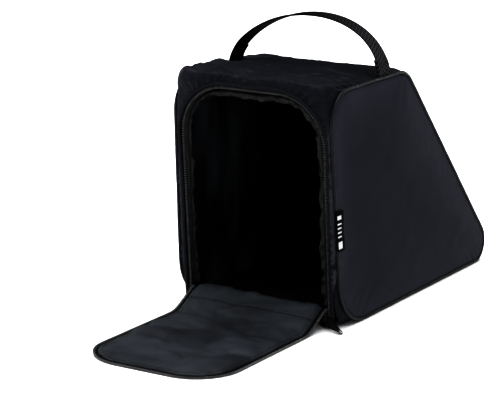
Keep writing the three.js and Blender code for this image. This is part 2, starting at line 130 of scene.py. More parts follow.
def ellipse(width, height, sides, start=0.0):
    """A round section's points, from its half width and half height."""
    turns = 2 * math.pi * (np.arange(sides) + start) / sides
    return np.column_stack([width * np.cos(turns), height * np.sin(turns)])


def wrap_radius(name, u):
    """A corner's radius at u: its middle one in the middle, the side's at the sides."""
    share = abs(u) ** RADIUS_POWER[name]
    return MIDDLE_RADIUS[name] + (SIDE_RADIUS[name] - MIDDLE_RADIUS[name]) * share


def corner_arc(corners, i, radius, steps):
    """The points of one rounded corner and their outward normals."""
    corner = corners[i]
    before = unit(corners[i - 1] - corner)
    after = unit(corners[(i + 1) % 4] - corner)
    half = math.acos(before @ after) / 2
    centre = corner + unit(before + after) * radius / math.sin(half)
    start = corner + before * radius / math.tan(half) - centre
    turns = -(math.pi - 2 * half) * np.arange(steps + 1) / steps
    c, s = np.cos(turns), np.sin(turns)
    spokes = np.stack([c * start[0] - s * start[1], s * start[0] + c * start[1]], 1)
    return centre + spokes, spokes / radius


ARC_STEPS = 20
PAST_LOOP = 80 * MM         # how far the front's plane goes on after one turn round the bag


def profile(u):
    """The wrap's section at u: points, outward normals, lengths, and where each arc is.

    Length is counted so that on the front's plane it is the distance up from the floor."""
    corners = wedge_corners(u)
    points, normals, marks = [], [], {}
    for i, name in ((1, "frontTop"), (2, "backTop"), (3, "backBottom"), (0, "frontBottom")):
        arc, spokes = corner_arc(corners, i, wrap_radius(name, u), ARC_STEPS)
        marks[name] = len(points)
        points.extend(arc)
        normals.extend(spokes)
    up = unit(corners[1] - corners[0])
    points = np.array([points[-1], *points, points[-1] + up * PAST_LOOP])
    normals = np.array([normals[-1], *normals, normals[-1]])
    lengths = distances(points) + np.linalg.norm(points[0] - corners[0])
    ends = {name: lengths[k + 1] for name, k in marks.items()}
    ends["loop"] = lengths[-2] - lengths[0]
    return points, normals, lengths, ends


COLUMN_U = np.linspace(-1, 1, 121)
COLUMNS = [profile(u) for u in COLUMN_U]


def mark(name, u):
    """The length at which an arc starts, at each u."""
    return np.interp(u, COLUMN_U, [c[3][name] for c in COLUMNS])


def front_seam(u):
    """How far up the front the base's cloth reaches."""
    rise = wrap_radius("frontBottom", u) - MIDDLE_RADIUS["frontBottom"]
    return SILL_TOP + 3 * MM + rise / math.tan(math.pi / 4 + LEAN / 2)


def wrap_points(u, q, inset, side_gap):
    """Points of the wrap at u and length q, below its outer face by inset."""
    u, q = np.asarray(u, float), np.asarray(q, float)
    inset = np.broadcast_to(inset, u.shape)
    place = (np.clip(u, -1, 1) + 1) / 2 * (len(COLUMN_U) - 1)
    low = np.minimum(place.astype(int), len(COLUMN_U) - 2)
    share = place - low
    yz = np.zeros((len(u), 2))
    for j in np.unique(low):
        here = low == j
        for column, weight in ((j, 1 - share[here]), (j + 1, share[here])):
            points, normals, lengths, _ = COLUMNS[column]
            for axis in (0, 1):
                at = np.interp(q[here], lengths, points[:, axis])
                out = np.interp(q[here], lengths, normals[:, axis])
                yz[here, axis] += weight * (at - out * inset[here])
    return np.column_stack([u * (half_width(yz[:, 1]) - side_gap), yz])


def front_points(x, up, out):
    """Points given in the front's plane: across, up along it, and out of it."""
    x, up, out = np.broadcast_arrays(*(np.asarray(v, float) for v in (x, up, out)))
    y = FRONT_Y - up * math.sin(LEAN) - out * math.cos(LEAN)
    z = up * math.cos(LEAN) - out * math.sin(LEAN)
    return np.stack([x, y, z], -1)


# ------------------------------------------------------------ mesh helpers
def mesh_object(name, vertices, faces, uv=None, smooth=True):
    """A new object, whose uv is a place on the flat cloth for each vertex."""
    mesh = bpy.data.meshes.new(name)
    mesh.from_pydata(np.asarray(vertices).tolist(), [], [list(map(int, f)) for f in faces])
    mesh.validate()
    if uv is not None:
        layer = mesh.uv_layers.new(name="cloth")
        corner = np.zeros(len(mesh.loops), int)
        mesh.loops.foreach_get("vertex_index", corner)
        layer.data.foreach_set("uv", np.asarray(uv, float)[corner].ravel())
    mesh.polygons.foreach_set("use_smooth", [smooth] * len(mesh.polygons))
    obj = bpy.data.objects.new(name, mesh)
    bpy.context.scene.collection.objects.link(obj)
    return obj


def coordinates(obj):
    """The mesh's vertices, a row each."""
    flat = np.zeros(len(obj.data.vertices) * 3)
    obj.data.vertices.foreach_get("co", flat)
    return flat.reshape(-1, 3)


def set_coordinates(obj, points):
    obj.data.vertices.foreach_set("co", np.asarray(points, float).ravel())
    obj.data.update()


def vertex_normals(obj):
    flat = np.zeros(len(obj.data.vertices) * 3)
    obj.data.vertex_normals.foreach_get("vector", flat)
    return flat.reshape(-1, 3)


def vertex_values(obj, name):
    """The numbers kept under a name by store_values."""
    values = np.zeros(len(obj.data.vertices))
    obj.data.attributes[name].data.foreach_get("value", values)
    return values


def values_of(obj, *names):
    return [vertex_values(obj, name) for name in names]


def store_values(obj, **values):
    """Keeps a number for each vertex, which subdivision and thickening carry along."""
    for name, data in values.items():
        attribute = obj.data.attributes.new(name, "FLOAT", "POINT")
        attribute.data.foreach_set("value", np.asarray(data, np.float32))


def apply_modifiers(obj):
    """Makes what the modifiers show into the object's own mesh."""
    bpy.context.view_layer.update()
    evaluated = obj.evaluated_get(bpy.context.evaluated_depsgraph_get())
    mesh = bpy.data.meshes.new_from_object(evaluated)
    obj.modifiers.clear()
    obj.data = mesh
    mesh.polygons.foreach_set("use_smooth", [True] * len(mesh.polygons))
    return obj


def subdivide(obj):
    """Splits each face once and rounds the mesh, its edges as well."""
    modifier = obj.modifiers.new("smooth", "SUBSURF")
    modifier.levels = modifier.render_levels = 1
    modifier.quality = 1
    modifier.use_limit_surface = False
    modifier.boundary_smooth = "ALL"
    return apply_modifiers(obj)


def thicken(obj, thickness):
    """Gives an open sheet a back face, the given depth behind its normals."""
    modifier = obj.modifiers.new("thick", "SOLIDIFY")
    modifier.thickness = thickness
    modifier.offset = -1
    return apply_modifiers(obj)


def inside(polygon, points):
    """Which points lie inside a closed polygon."""
    x, y = points[:, 0], points[:, 1]
    result = np.zeros(len(points), bool)
    for (x0, y0), (x1, y1) in zip(polygon, np.roll(polygon, -1, axis=0)):
        if y0 == y1:
            continue
        crosses = (y0 > y) != (y1 > y)
        result ^= crosses & (x < (x1 - x0) * (y - y0) / (y1 - y0) + x0)
    return result


def edge_distance(polygon, points):
    """Each point's distance from the polygon's edge."""
    best = np.full(len(points), np.inf)
    for a, b in zip(polygon, np.roll(polygon, -1, axis=0)):
        along = b - a
        share = np.clip((points - a) @ along / max(along @ along, 1e-18), 0, 1)
        best = np.minimum(best, np.linalg.norm(points - a - share[:, None] * along, axis=1))
    return best


def resample(points, spacing):
    """A closed polygon's points, spread evenly along each of its straight edges."""
    result = []
    for a, b in zip(points, np.roll(points, -1, axis=0)):
        count = max(1, round(np.linalg.norm(b - a) / spacing))
        result.extend(a + (b - a) * k / count for k in range(count))
    return np.array(result)


def triangulate(outline, spacing):
    """An even net of triangles inside a polygon: points, faces and edge distances."""
    outline = resample(np.asarray(outline, float), spacing)
    low, high = outline.min(0), outline.max(0)
    row = spacing * math.sqrt(3) / 2
    grid = []
    for j in range(int((high[1] - low[1]) / row) + 1):
        xs = np.arange(low[0] + spacing / 2 * (j % 2), high[0], spacing)
        grid.append(np.column_stack([xs, np.full(len(xs), low[1] + j * row)]))
    grid = np.concatenate(grid)
    keep = inside(outline, grid)
    grid = grid[keep]
    grid = grid[edge_distance(outline, grid) > 0.62 * spacing]
    points = np.concatenate([outline, grid])
    count = len(outline)
    edges = [(k, (k + 1) % count) for k in range(count)]
    made = delaunay_2d_cdt([Vector(p) for p in points], edges, [], 0, 1e-9)
    flat = np.array([tuple(v) for v in made[0]])
    faces = np.array(made[2])
    faces = faces[inside(outline, flat[faces].mean(1))]
    used = np.unique(faces)
    order = np.full(len(flat), -1)
    order[used] = np.arange(len(used))
    flat = flat[used]
    return flat, order[faces], edge_distance(outline, flat)


def strip_faces(rows, count):
    """Quads between rows of points that hold count points each."""
    return [(j * count + i, (j + 1) * count + i, (j + 1) * count + i + 1, j * count + i + 1)
            for j in range(rows - 1) for i in range(count - 1)]


def sheet_of_rows(name, rows, uv):
    """An open sheet through rows of points, with their flat places."""
    return mesh_object(name, np.concatenate(rows), strip_faces(len(rows), len(rows[0])),
                       np.concatenate(uv))


def sweep(name, centres, across, outward, section, closed):
    """A tube: each section point is (across, outward) from the route's centres."""
    section = np.asarray(section, float)
    count, sides = len(centres), len(section)
    vertices = (centres[:, None] + section[None, :, :1] * across[:, None]
                + section[None, :, 1:] * outward[:, None]).reshape(-1, 3)
    faces = []
    for i in range(count if closed else count - 1):
        a, b = i * sides, (i + 1) % count * sides
        for j in range(sides):
            k = (j + 1) % sides
            faces.append((a + j, a + k, b + k, b + j))
    if not closed:
        faces.append(tuple(range(sides))[::-1])
        faces.append(tuple((count - 1) * sides + j for j in range(sides)))
    uv = np.stack(np.meshgrid(distances(centres), distances(section), indexing="ij"), -1)
    return fresh_normals(mesh_object(name, vertices, faces, uv.reshape(-1, 2)))


def repeated(faces, step, count):
    """The faces of count copies of a shell whose vertices number step."""
    return [tuple(v + k * step for v in f) for k in range(count) for f in faces]


def copies(template, faces, places):
    """One mesh from a template set down at each place: (origin, three axes as rows)."""
    vertices = [origin + template @ axes for origin, axes in places]
    return np.concatenate(vertices), repeated(faces, len(template), len(places))


def fresh_normals(obj):
    """Turns every face outwards."""
    net = bmesh.new()
    net.from_mesh(obj.data)
    bmesh.ops.recalc_face_normals(net, faces=net.faces)
    net.to_mesh(obj.data)
    net.free()
    return obj


def flip(obj):
    obj.data.flip_normals()
    obj.data.update()


def face_outwards(obj, reference):
    """Flips a sheet whose normals point towards the reference point."""
    if ((coordinates(obj) - reference) * vertex_normals(obj)).sum() < 0:
        flip(obj)
    return obj


def face_towards(obj, way):
    """Flips a sheet whose faces look away from a direction on the whole."""
    if (vertex_normals(obj) @ np.array(way, float)).sum() < 0:
        flip(obj)
    return obj


# ------------------------------------------------------------ cloth
def lattice(cells, seed):
    """A repeatable value from -1 to 1 for each whole-numbered cell."""
    mixed = (cells * np.array([1619, 31337, 6971])).sum(-1) + int(seed * 1013)
    mixed = (mixed ^ (mixed >> 13)) & 0x7FFFFFFF
    mixed = (mixed * (mixed * mixed * 15731 + 789221) + 1376312589) & 0x7FFFFFFF
    return mixed / 0x3FFFFFFF - 1


def value_noise(points, seed):
    """Smooth noise from -1 to 1 over points whose lumps are about 1 across."""
    cell = np.floor(points).astype(np.int64)
    part = points - cell
    part = part * part * part * (part * (part * 6 - 15) + 10)
    total = np.zeros(len(points))
    for corner in np.ndindex(2, 2, 2):
        weight = np.prod(np.where(corner, part, 1 - part), axis=1)
        total += weight * lattice(cell + np.array(corner), seed)
    return total


def ripple(points, size, seed, octaves=3):
    """Smooth noise at each point, with lumps of the given size and finer ones on them."""
    total, height, scale = np.zeros(len(points)), 1.0, 1 / size
    for octave in range(octaves):
        total += height * value_noise(points * scale + octave * 17.3, seed + octave * 0.37)
        height *= 0.5
        scale *= 2.0
    return total * 0.8


def puckers(distance, along, pitch, reach, seed):
    """Gathers that run away from a seam and fade out, at a distance and place along it."""
    blank = np.zeros(len(along))
    wander = value_noise(np.column_stack([along / (pitch * 2.7), distance / (reach * 2), blank]),
                         seed)
    strength = value_noise(np.column_stack([along / (pitch * 4.1), blank, blank + 0.5]), seed + 0.7)
    wave = np.sin(2 * math.pi * along / pitch + 4.0 * wander)
    return wave * np.exp(-distance / reach) * np.clip(0.6 + 1.1 * strength, 0, 1.6)


def push(obj, amount):
    """Moves each vertex along its normal."""
    set_coordinates(obj, coordinates(obj) + vertex_normals(obj) * np.asarray(amount)[:, None])
    return obj


CLOTH_FRAMES = 22
CLOTH_SETTINGS = dict(
    quality=6, mass=0.25, tension_stiffness=20, compression_stiffness=20, shear_stiffness=8,
    tension_damping=8, compression_damping=8, shear_damping=8, air_damping=3,
    vertex_group_mass="held", use_pressure=True)
HELD_RIM = 1 * MM


def simulate(obj, growth, pressure, cap, bending=0.6):
    """Cloth held at its rim, cut too large by growth and pushed out, by cap at the most."""
    start = coordinates(obj)
    held = np.flatnonzero(vertex_values(obj, "rim") < HELD_RIM)
    obj.vertex_groups.new(name="held").add(held.tolist(), 1.0, "REPLACE")
    cloth = obj.modifiers.new("Cloth", "CLOTH")
    settings = dict(CLOTH_SETTINGS, bending_stiffness=bending, shrink_min=-growth,
                    uniform_pressure_force=pressure)
    for key, value in settings.items():
        setattr(cloth.settings, key, value)
    cloth.settings.effector_weights.gravity = 0
    cloth.collision_settings.use_collision = False
    cloth.collision_settings.use_self_collision = False
    cloth.point_cache.frame_start, cloth.point_cache.frame_end = 1, CLOTH_FRAMES
    scene = bpy.context.scene
    for step in range(1, CLOTH_FRAMES + 1):
        scene.frame_set(step)
    apply_modifiers(obj)
    obj.vertex_groups.clear()
    scene.frame_set(1)
    move = coordinates(obj) - start
    size = np.linalg.norm(move, axis=1)
    share = np.minimum(1, cap / np.maximum(size, 1e-9))
    set_coordinates(obj, start + move * share[:, None])
    return obj


# ------------------------------------------------------------ materials
class Nodes:
    """The node tree of a material or world, with short calls for the nodes used here."""

    def __init__(self, owner, shader="Principled BSDF"):
        owner.use_nodes = True
        self.tree = owner.node_tree
        self.shader = self.tree.nodes[shader]

    def add(self, kind, **settings):
        node = self.tree.nodes.new("ShaderNode" + kind)
        for key, value in settings.items():
            if key in node.inputs:
                self.plug(value, node.inputs[key])
            else:
                setattr(node, key, value)
        return node

    def plug(self, value, socket):
        """Gives a socket a number or colour, or the output of a node."""
        if hasattr(value, "outputs"):
            value = value.outputs[0]
        if hasattr(value, "links"):
            self.tree.links.new(value, socket)
        else:
            socket.default_value = value

    def shade(self, values):
        """Sets inputs of the shader by name."""
        for key, value in values.items():
            self.plug(value, self.shader.inputs[key])

    def maths(self, operation, a, b=0.0):
        node = self.add("Math", operation=operation)
        self.plug(a, node.inputs[0])
        self.plug(b, node.inputs[1])
        return node

    def plus(self, a, b):
        return self.maths("ADD", a, b)

    def times(self, a, b):
        return self.maths("MULTIPLY", a, b)

    def flat_place(self):
        """The X and Y of the place on the flat cloth."""
        return self.add("SeparateXYZ", Vector=self.add("UVMap", uv_map="cloth")).outputs

    def place(self):
        return self.add("TexCoord").outputs["Object"]

    # The share of painted light stored on each vertex: where the colour is lightened as a painted
    # highlight.
    def wear(self):
        return self.add("Attribute", attribute_name="wear").outputs["Fac"]

    def ramp(self, value, low, high):
        return self.add("MapRange", **{"Value": value, "To Min": low, "To Max": high})

    def noise(self, vector, scale, detail=3.0, roughness=0.55):
        return self.add("TexNoise", Vector=vector, Scale=scale, Detail=detail,
                        Roughness=roughness)

    def mix(self, share, dark, light):
        node = self.add("Mix", data_type="RGBA")
        self.plug(share, node.inputs["Factor"])
        for key, colour in (("A", dark), ("B", light)):
            self.plug((*colour, 1) if isinstance(colour, tuple) else colour, node.inputs[key])
        return node.outputs["Result"]

    def threads(self, pitch, skew):
        """The height of a plain weave: two sets of threads that cross over and under."""
        flat = self.flat_place()
        waves = []
        for axis, other in (("X", "Y"), ("Y", "X")):
            along = self.times(flat[axis], math.pi / pitch)
            cross = self.times(flat[other], skew * math.pi / pitch)
            waves.append(self.maths("SINE", self.plus(along, cross)))
        return self.maths("ABSOLUTE", self.times(*waves))

    def bump(self, height, distance, strength, after=None):
        node = self.add("Bump", Strength=strength, Distance=distance, Height=height)
        if after is not None:
            self.plug(after, node.inputs["Normal"])
        return node


SHEEN_TINT = (0.75, 0.78, 0.9, 1)
SHEEN_ROUGHNESS = 0.45
COARSE, FINE, GRAIN, FIBRE = 14, 110, 700, 900     # scales of noise, per metre


def fabric(name, dark, light, pitch, roughness, sheen, crease=0.35, specular=0.5, skew=0.0,
           painted_lit_colour=None):
    """Woven cloth: threads, fine creases, faded patches and a sheen, with a lighter colour mixed in
    by the vertices' painted-light share as a painted highlight.
    """
    material = bpy.data.materials.new(name)
    n = Nodes(material)
    place = n.place()
    patches, fibre = n.noise(place, COARSE, 4, 0.6), n.noise(place, FIBRE, 2)
    weave = n.threads(pitch, skew)
    shade = n.plus(n.plus(n.times(patches, 0.75), n.times(fibre, 0.15)), n.times(weave, 0.18))
    colour = n.mix(shade, dark, light)
    # Painted light: mixes towards the lit colour where the vertices carry painted highlight.
    if painted_lit_colour is not None:
        colour = n.mix(n.wear(), colour, painted_lit_colour)
    creases = n.bump(n.noise(place, FINE, 4, 0.6), 0.8 * MM, crease)
    n.shade({
        "Base Color": colour,
        "Roughness": n.ramp(n.noise(place, 40, 3), roughness - 0.09, roughness + 0.09),
        "Sheen Weight": sheen,
        "Sheen Roughness": SHEEN_ROUGHNESS,
        "Sheen Tint": SHEEN_TINT,
        "Specular IOR Level": specular,
        "Normal": n.bump(weave, 0.12 * MM, 0.5, creases),
    })
    return material


def ribbed(name, dark, light, rib, roughness, sheen=0.01, specular=0.12, contrast=0.22,
           painted_lit=False):
    """Webbing or tape: ribs along it with a herringbone of short slanting threads."""
    material = bpy.data.materials.new(name)
    n = Nodes(material)
    flat = n.flat_place()
    along = n.times(flat["X"], 2 * math.pi / rib)
    across = n.maths("SINE", n.times(flat["Y"], math.pi / rib))
    zigzag = n.times(n.maths("ARCSINE", across), 2.0)
    height = n.maths("SINE", n.plus(along, zigzag))
    relief = n.plus(n.times(height, 0.5), n.times(n.maths("ABSOLUTE", across), 0.6))
    patches = n.noise(n.place(), 60, 4)
    shade = n.plus(n.times(patches, 0.8), n.times(height, contrast))
    # Painted light and shade: the colour is scaled by the vertices' painted-light share, light where
    # it is lit and near its darkest elsewhere.
    if painted_lit:
        shade = n.times(shade, n.wear())
    n.shade({
        "Base Color": n.mix(shade, dark, light),
        "Roughness": n.ramp(patches, roughness - 0.08, roughness + 0.08),
        "Sheen Weight": sheen,
        "Specular IOR Level": specular,
        "Normal": n.bump(relief, 0.35 * MM, 0.8),
    })
    return material


def hard(name, dark, light, roughness, metal=0.0):
    """Moulded plastic or enamelled metal, with a fine grain and mottled colour."""
    material = bpy.data.materials.new(name)
    n = Nodes(material)
    place = n.place()
    n.shade({
        "Base Color": n.mix(n.noise(place, 120, 4), dark, light),
        "Roughness": n.ramp(n.noise(place, 260, 3), roughness - 0.1, roughness + 0.12),
        "Metallic": metal,
        "Normal": n.bump(n.noise(place, GRAIN, 2), 0.05 * MM, 0.4),
    })
    return material


# The last colour given to the nylons and the lining is a painted-light colour, for painted
# highlights and lit patches.
NYLON = fabric("wrap nylon", (0.008, 0.0088, 0.0125), (0.0165, 0.0179, 0.0245), 0.55 * MM, 0.36,
               0.01, crease=0.7, specular=0.085, painted_lit_colour=(0.048, 0.051, 0.0635))
SIDE_NYLON = fabric("side nylon", (0.0152, 0.0166, 0.0236), (0.0205, 0.0225, 0.031), 0.6 * MM,
                    0.45, 0.01, crease=0.14, specular=0.035, painted_lit_colour=(0.0485, 0.0512, 0.0655))
LINING = fabric("lining nylon", (0.003, 0.003, 0.004), (0.007, 0.007, 0.0095), 0.5 * MM,
                0.5, 0.01, crease=0.4, specular=0.12, painted_lit_colour=(0.04, 0.0455, 0.053))
BAFFLE = fabric("baffle nylon", (0.003, 0.0032, 0.0034), (0.0155, 0.016, 0.0165), 0.5 * MM, 0.32,
                0.01, crease=0.5, specular=0.25)
PIPING = fabric("piping nylon", (0.0055, 0.006, 0.0078), (0.011, 0.0118, 0.015), 0.5 * MM, 0.27,
                0.0, crease=0.25, specular=0.26, skew=0.4)
# The webbing's light colour shows only where the vertices carry painted light.
WEBBING = ribbed("webbing", (0.001, 0.001, 0.0013), (0.078, 0.079, 0.085), 4.6 * MM, 0.7,
                 0.0, 0.03, contrast=0.6, painted_lit=True)
BINDING = ribbed("binding tape", (0.003, 0.003, 0.0035), (0.011, 0.011, 0.012), 1.1 * MM, 0.6)
ZIP_TAPE = ribbed("zip tape", (0.002, 0.002, 0.0025), (0.008, 0.008, 0.009), 0.8 * MM, 0.6,
                  specular=0.06)
THREAD = ribbed("sewing thread", (0.006, 0.006, 0.007), (0.022, 0.022, 0.024), 0.4 * MM, 0.45)
TEETH = hard("moulded teeth", (0.045, 0.045, 0.047), (0.15, 0.15, 0.154), 0.26)
METAL = hard("black enamel", (0.01, 0.01, 0.011), (0.028, 0.028, 0.03), 0.32, 0.6)
LABEL = fabric("label weave", (0.0015, 0.0015, 0.002), (0.004, 0.004, 0.005), 0.35 * MM, 0.6, 0.0,
               specular=0.04)
MARKS = fabric("label marks", (0.5, 0.5, 0.5), (0.72, 0.72, 0.71), 0.35 * MM, 0.6, 0.1)


def cut_size(obj, across, along):
    """The size of a piece of cloth as it was cut: its area, width and length."""
    return sum(face.area for face in obj.data.polygons), np.ptp(across), np.ptp(along)


def finish_piece(obj, material, body, slot_name, *nodes):
    """Gives a piece its material, hangs it on the body it rides on, and hides the nodes it stands
    for; slot_name is not used.
    """
    obj.data.materials.clear()
    obj.data.materials.append(material)
    if body is not None:
        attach(obj, body)
    if nodes:
        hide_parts(*nodes)
    return obj


# ------------------------------------------------------------ outer cloth of the wrap
TOP_SEAM = partial(mark, "backTop")
LOW_SEAM = partial(mark, "backBottom")
FOOT_UP = 40 * MM           # where u is worked out for the zip's feet
SIDE_GAP = 3.3 * MM         # from the side's face to the edge of the wrap's cloth
TUCK = 1.8 * MM             # how far the cloth dips to its seam with the piping
TUCK_WIDTH = 2.2 * MM
U_SCALE = 0.1               # metres across for u from 0 to 1, in the flat layout


def zip_outline(edge, low, steps=14):
    """The upside-down U at a distance outside the zip's line, from right foot to left."""
    half, radius, springs = ZIP_HALF + edge, ZIP_RADIUS + edge, ZIP_TOP - ZIP_RADIUS
    turns = np.linspace(0, math.pi / 2, steps + 1)
    right = np.column_stack([ZIP_HALF - ZIP_RADIUS + radius * np.cos(turns),
                             springs + radius * np.sin(turns)])
    left = right[::-1] * (-1, 1)
    return np.concatenate([[(half, low)], right, left, [(-half, low)]])


def to_u(x, up):
    """The u of a point of the front's plane."""
    return x / (half_width(up * math.cos(LEAN)) - SIDE_GAP)


def seam_line(q_of_u, start, end, count=80):
    """A seam across the wrap in the flat layout, from its length at each u."""
    us = np.linspace(start, end, count)
    return np.column_stack([us * U_SCALE, [float(q_of_u(u)) for u in us]])


BAG_MIDDLE = np.array([0, -0.03, 0.12])


def beside_line(points, line):
    """How far flat points are from a line, and where along it the nearest place is."""
    gap, along = np.full(len(points), 1.0), np.zeros(len(points))
    total = 0.0
    for a, b in zip(line[:-1], line[1:]):
        step = b - a
        share = np.clip((points - a) @ step / (step @ step), 0, 1)
        distance = np.linalg.norm(points - a - share[:, None] * step, axis=1)
        closer = distance < gap
        gap[closer] = distance[closer]
        along[closer] = total + (share * np.linalg.norm(step))[closer]
        total += np.linalg.norm(step)
    return gap, along


def from_side(u):
    """How far a place on the wrap is from the nearer side's seam, in the flat layout."""
    return (1 - np.abs(u)) * U_SCALE


def wrap_piece(name, polygon, spacing, zip_line=None):
    """A piece of the wrap's cloth from its flat outline in (u, length), facing outwards."""
    flat, faces, rim = triangulate(polygon, spacing)
    u, q = flat[:, 0] / U_SCALE, flat[:, 1]
    inset = TUCK * np.exp(-(from_side(u) / TUCK_WIDTH) ** 2)
    points = wrap_points(u, q, inset, SIDE_GAP)
    obj = mesh_object(name, points, faces, flat)
    store_values(obj, u=u, q=q, rim=rim)
    if zip_line is not None:
        x = u * (half_width(points[:, 2]) - SIDE_GAP)
        gap, along = beside_line(np.column_stack([x, q]), zip_line)
        store_values(obj, gap=gap, along=along)
    return face_outwards(obj, BAG_MIDDLE)


def front_relief(obj):
    """How far the front's and top's cloth stands out, and where a painted highlight lightens its
    colour.
    """
    u, q, gap, along = values_of(obj, "u", "q", "gap", "along")
    side, here, blank = from_side(u), coordinates(obj), np.zeros(len(u))
    above = q - ZIP_TOP
    on_top = ease(above, 25 * MM)
    leg = ease(-20 * MM - above, 40 * MM)
    fade = ease(np.minimum(side, gap), 4 * MM)
    lumps = ripple(here, 34 * MM, 1) * 0.8 + ripple(here, 12 * MM, 2) * 0.35
    gathers = puckers(side, q + 0.6 * side, 8 * MM, 9 * MM, 3) * 0.8
    fan = puckers(gap, along * 0.9 + 0.35 * gap, 6.5 * MM, 32 * MM, 4) * (1.1 - 0.7 * on_top)
    slanted = np.column_stack([here[:, 0] * 0.3 + q * 0.15, q, blank])
    streaks = ripple(slanted, 6.5 * MM, 8, 2) * 0.55
    roll = np.exp(-((side - 5 * MM) / (3.5 * MM)) ** 2) * leg
    crumple = ripple(np.column_stack([side * 1.2, q, blank]), 9 * MM, 9, 2)
    corner = (np.exp(-((side - 13 * MM) / (14 * MM)) ** 2) * (0.65 - 0.35 * u)
              * ease(above + 10 * MM, 24 * MM)
              * ease(100 * MM - above, 20 * MM))
    relief = (lumps + gathers + fan + streaks
              + roll * 2.6 + crumple * leg * 1.6 + corner * 7.0) * fade * MM
    # Painted highlight: the rolled strip by the piping, the legs of the U (more on the right) and
    # the left end are lightened as if catching light.
    painted_lit = (roll * (1 + crumple) + leg * (0.45 + 0.25 * u) * (1 + 1.6 * crumple)
              + 0.85 * np.clip(-u - 0.6, 0, 1))
    return relief, np.clip(painted_lit, 0, 1)


def make_front_top():
    """The front round the zip's U and the top, cut in one piece."""
    foot = to_u(ZIP_HALF + CLOTH_EDGE, FOOT_UP)
    edge = zip_outline(CLOTH_EDGE, front_seam(foot))
    hole = np.column_stack([to_u(edge[:, 0], edge[:, 1]) * U_SCALE, edge[:, 1]])
    polygon = np.concatenate([
        seam_line(front_seam, foot, 1, 8)[1:],
        seam_line(TOP_SEAM, 1, -1),
        seam_line(front_seam, -1, -foot, 8)[:-1],
        hole[::-1],
    ])
    obj = wrap_piece("wrap_front_and_top", polygon, 3 * MM, edge)
    cut = cut_size(obj, coordinates(obj)[:, 0], vertex_values(obj, "q"))
    simulate(obj, 0.02, 0.6, 6 * MM)
    subdivide(obj)
    relief, wear = front_relief(obj)
    push(obj, relief)
    # Keeps the painted highlight share for the material.
    store_values(obj, wear=wear)
    thicken(obj, CLOTH)
    return finish_piece(obj, NYLON, "bag", "body_fabric", "front_panel", "top_panel", "top_foam")


BACK_PAD = 3 * MM


def make_back():
    """The padded back, between the top's seam and the floor's."""
    polygon = np.concatenate([seam_line(LOW_SEAM, -1, 1), seam_line(TOP_SEAM, 1, -1)])
    obj = wrap_piece("wrap_back", polygon, 5 * MM)
    simulate(obj, 0.015, 0.6, 7 * MM)
    subdivide(obj)
    u, q, rim = values_of(obj, "u", "q", "rim")
    here = coordinates(obj)
    fade = ease(rim, 5 * MM)
    lumps = ripple(here, 60 * MM, 5) * 1.6 * MM + ripple(here, 17 * MM, 6) * 0.5 * MM
    gathers = puckers(from_side(u), q, 12 * MM, 12 * MM, 7) * 0.8 * MM
    push(obj, (lumps + gathers) * fade)
    thicken(obj, BACK_PAD)
    return finish_piece(obj, NYLON, "bag", "body_fabric", "back_panel", "back_foam")


def base_front(x, up):
    """A point of the front's plane, in the base's flat outline."""
    u = to_u(x, up)
    return u * U_SCALE, float(mark("loop", u)) + up


def base_seam(u):
    """Where the base's cloth ends on the front, one turn round the bag further on."""
    return float(mark("loop", u)) + front_seam(u)


NOTCH_HALF = 8.7 * MM       # half the width of the notches that the zip's feet stand in
NOTCH_LOW = ZIP_END - 2.2 * MM
SILL_STEPS = 20


def base_outline():
    """The floor and the strip up the front: a sill between two notches for the zip."""
    outer, inner = ZIP_HALF + NOTCH_HALF, ZIP_HALF - NOTCH_HALF
    foot = to_u(outer, FOOT_UP)
    right = [base_front(inner, SILL_TOP), base_front(inner, NOTCH_LOW),
             base_front(outer, NOTCH_LOW), base_front(outer, front_seam(foot))]
    left = [(-across, length) for across, length in reversed(right)]
    sill = [base_front(-inner + 2 * inner * k / SILL_STEPS, SILL_TOP)
            for k in range(1, SILL_STEPS)]
    return np.concatenate([
        seam_line(LOW_SEAM, 1, -1), seam_line(base_seam, -1, -foot, 8)[:-1], left, sill, right,
        seam_line(base_seam, foot, 1, 8)[1:],
    ])


def make_base():
    """The floor, turned up at the front as far as the sill and the front's seam."""
    obj = wrap_piece("wrap_base", base_outline(), 5 * MM)
    cut = cut_size(obj, coordinates(obj)[:, 0], vertex_values(obj, "q"))
    subdivide(obj)
    u, q, rim = values_of(obj, "u", "q", "rim")
    here = coordinates(obj)
    free = ease(here[:, 2] - 2 * MM, 12 * MM)
    fade = ease(rim, 4 * MM)
    lumps = ripple(here, 30 * MM, 8) * 1.2 * MM
    gathers = puckers(from_side(u), q, 9 * MM, 12 * MM, 9) * 0.8 * MM
    push(obj, (lumps + gathers) * fade * free)
    thicken(obj, CLOTH)
    return finish_piece(obj, NYLON, "bag", "body_fabric", "base_panel", "base_board")


# ------------------------------------------------------------ the side panels
def side_outline(inset, steps=14):
    """The side's outline in (y, z), moved inwards, with its outward normals."""
    corners = wedge_corners(1.0)
    points, normals = [], []
    for i, name in enumerate(CORNERS):
        arc, spokes = corner_arc(corners, i, SIDE_RADIUS[name], steps)
        points.extend(arc - spokes * inset)
        normals.extend(spokes)
    return np.array(points), np.array(normals)


def dense_outline(inset, spacing):
    """The same outline, evenly spaced: places, outward normals and distances round it."""
    points, normals = side_outline(inset)
    loop = np.concatenate([points, points[:1]])
    turns = np.concatenate([normals, normals[:1]])
    length = distances(loop)
    at = np.linspace(0, length[-1], round(length[-1] / spacing), endpoint=False)
    return read_line(at, length, loop), unit_rows(read_line(at, length, turns)), at


def side_point(side, yz, depth):
    """Points at (y, z), below a side's outer face by depth."""
    yz = np.asarray(yz, float)
    x = (half_width(yz[:, 1]) - depth) * side
    return np.column_stack([x, yz])


SIDE_EDGE = 3.2 * MM
PAD = 3.4 * MM              # thickness of the padded side
SIDE_MIDDLE = 0.12          # height about which its gathers turn
SIDE_REACH = 0.13           # from there to the seam, on the whole


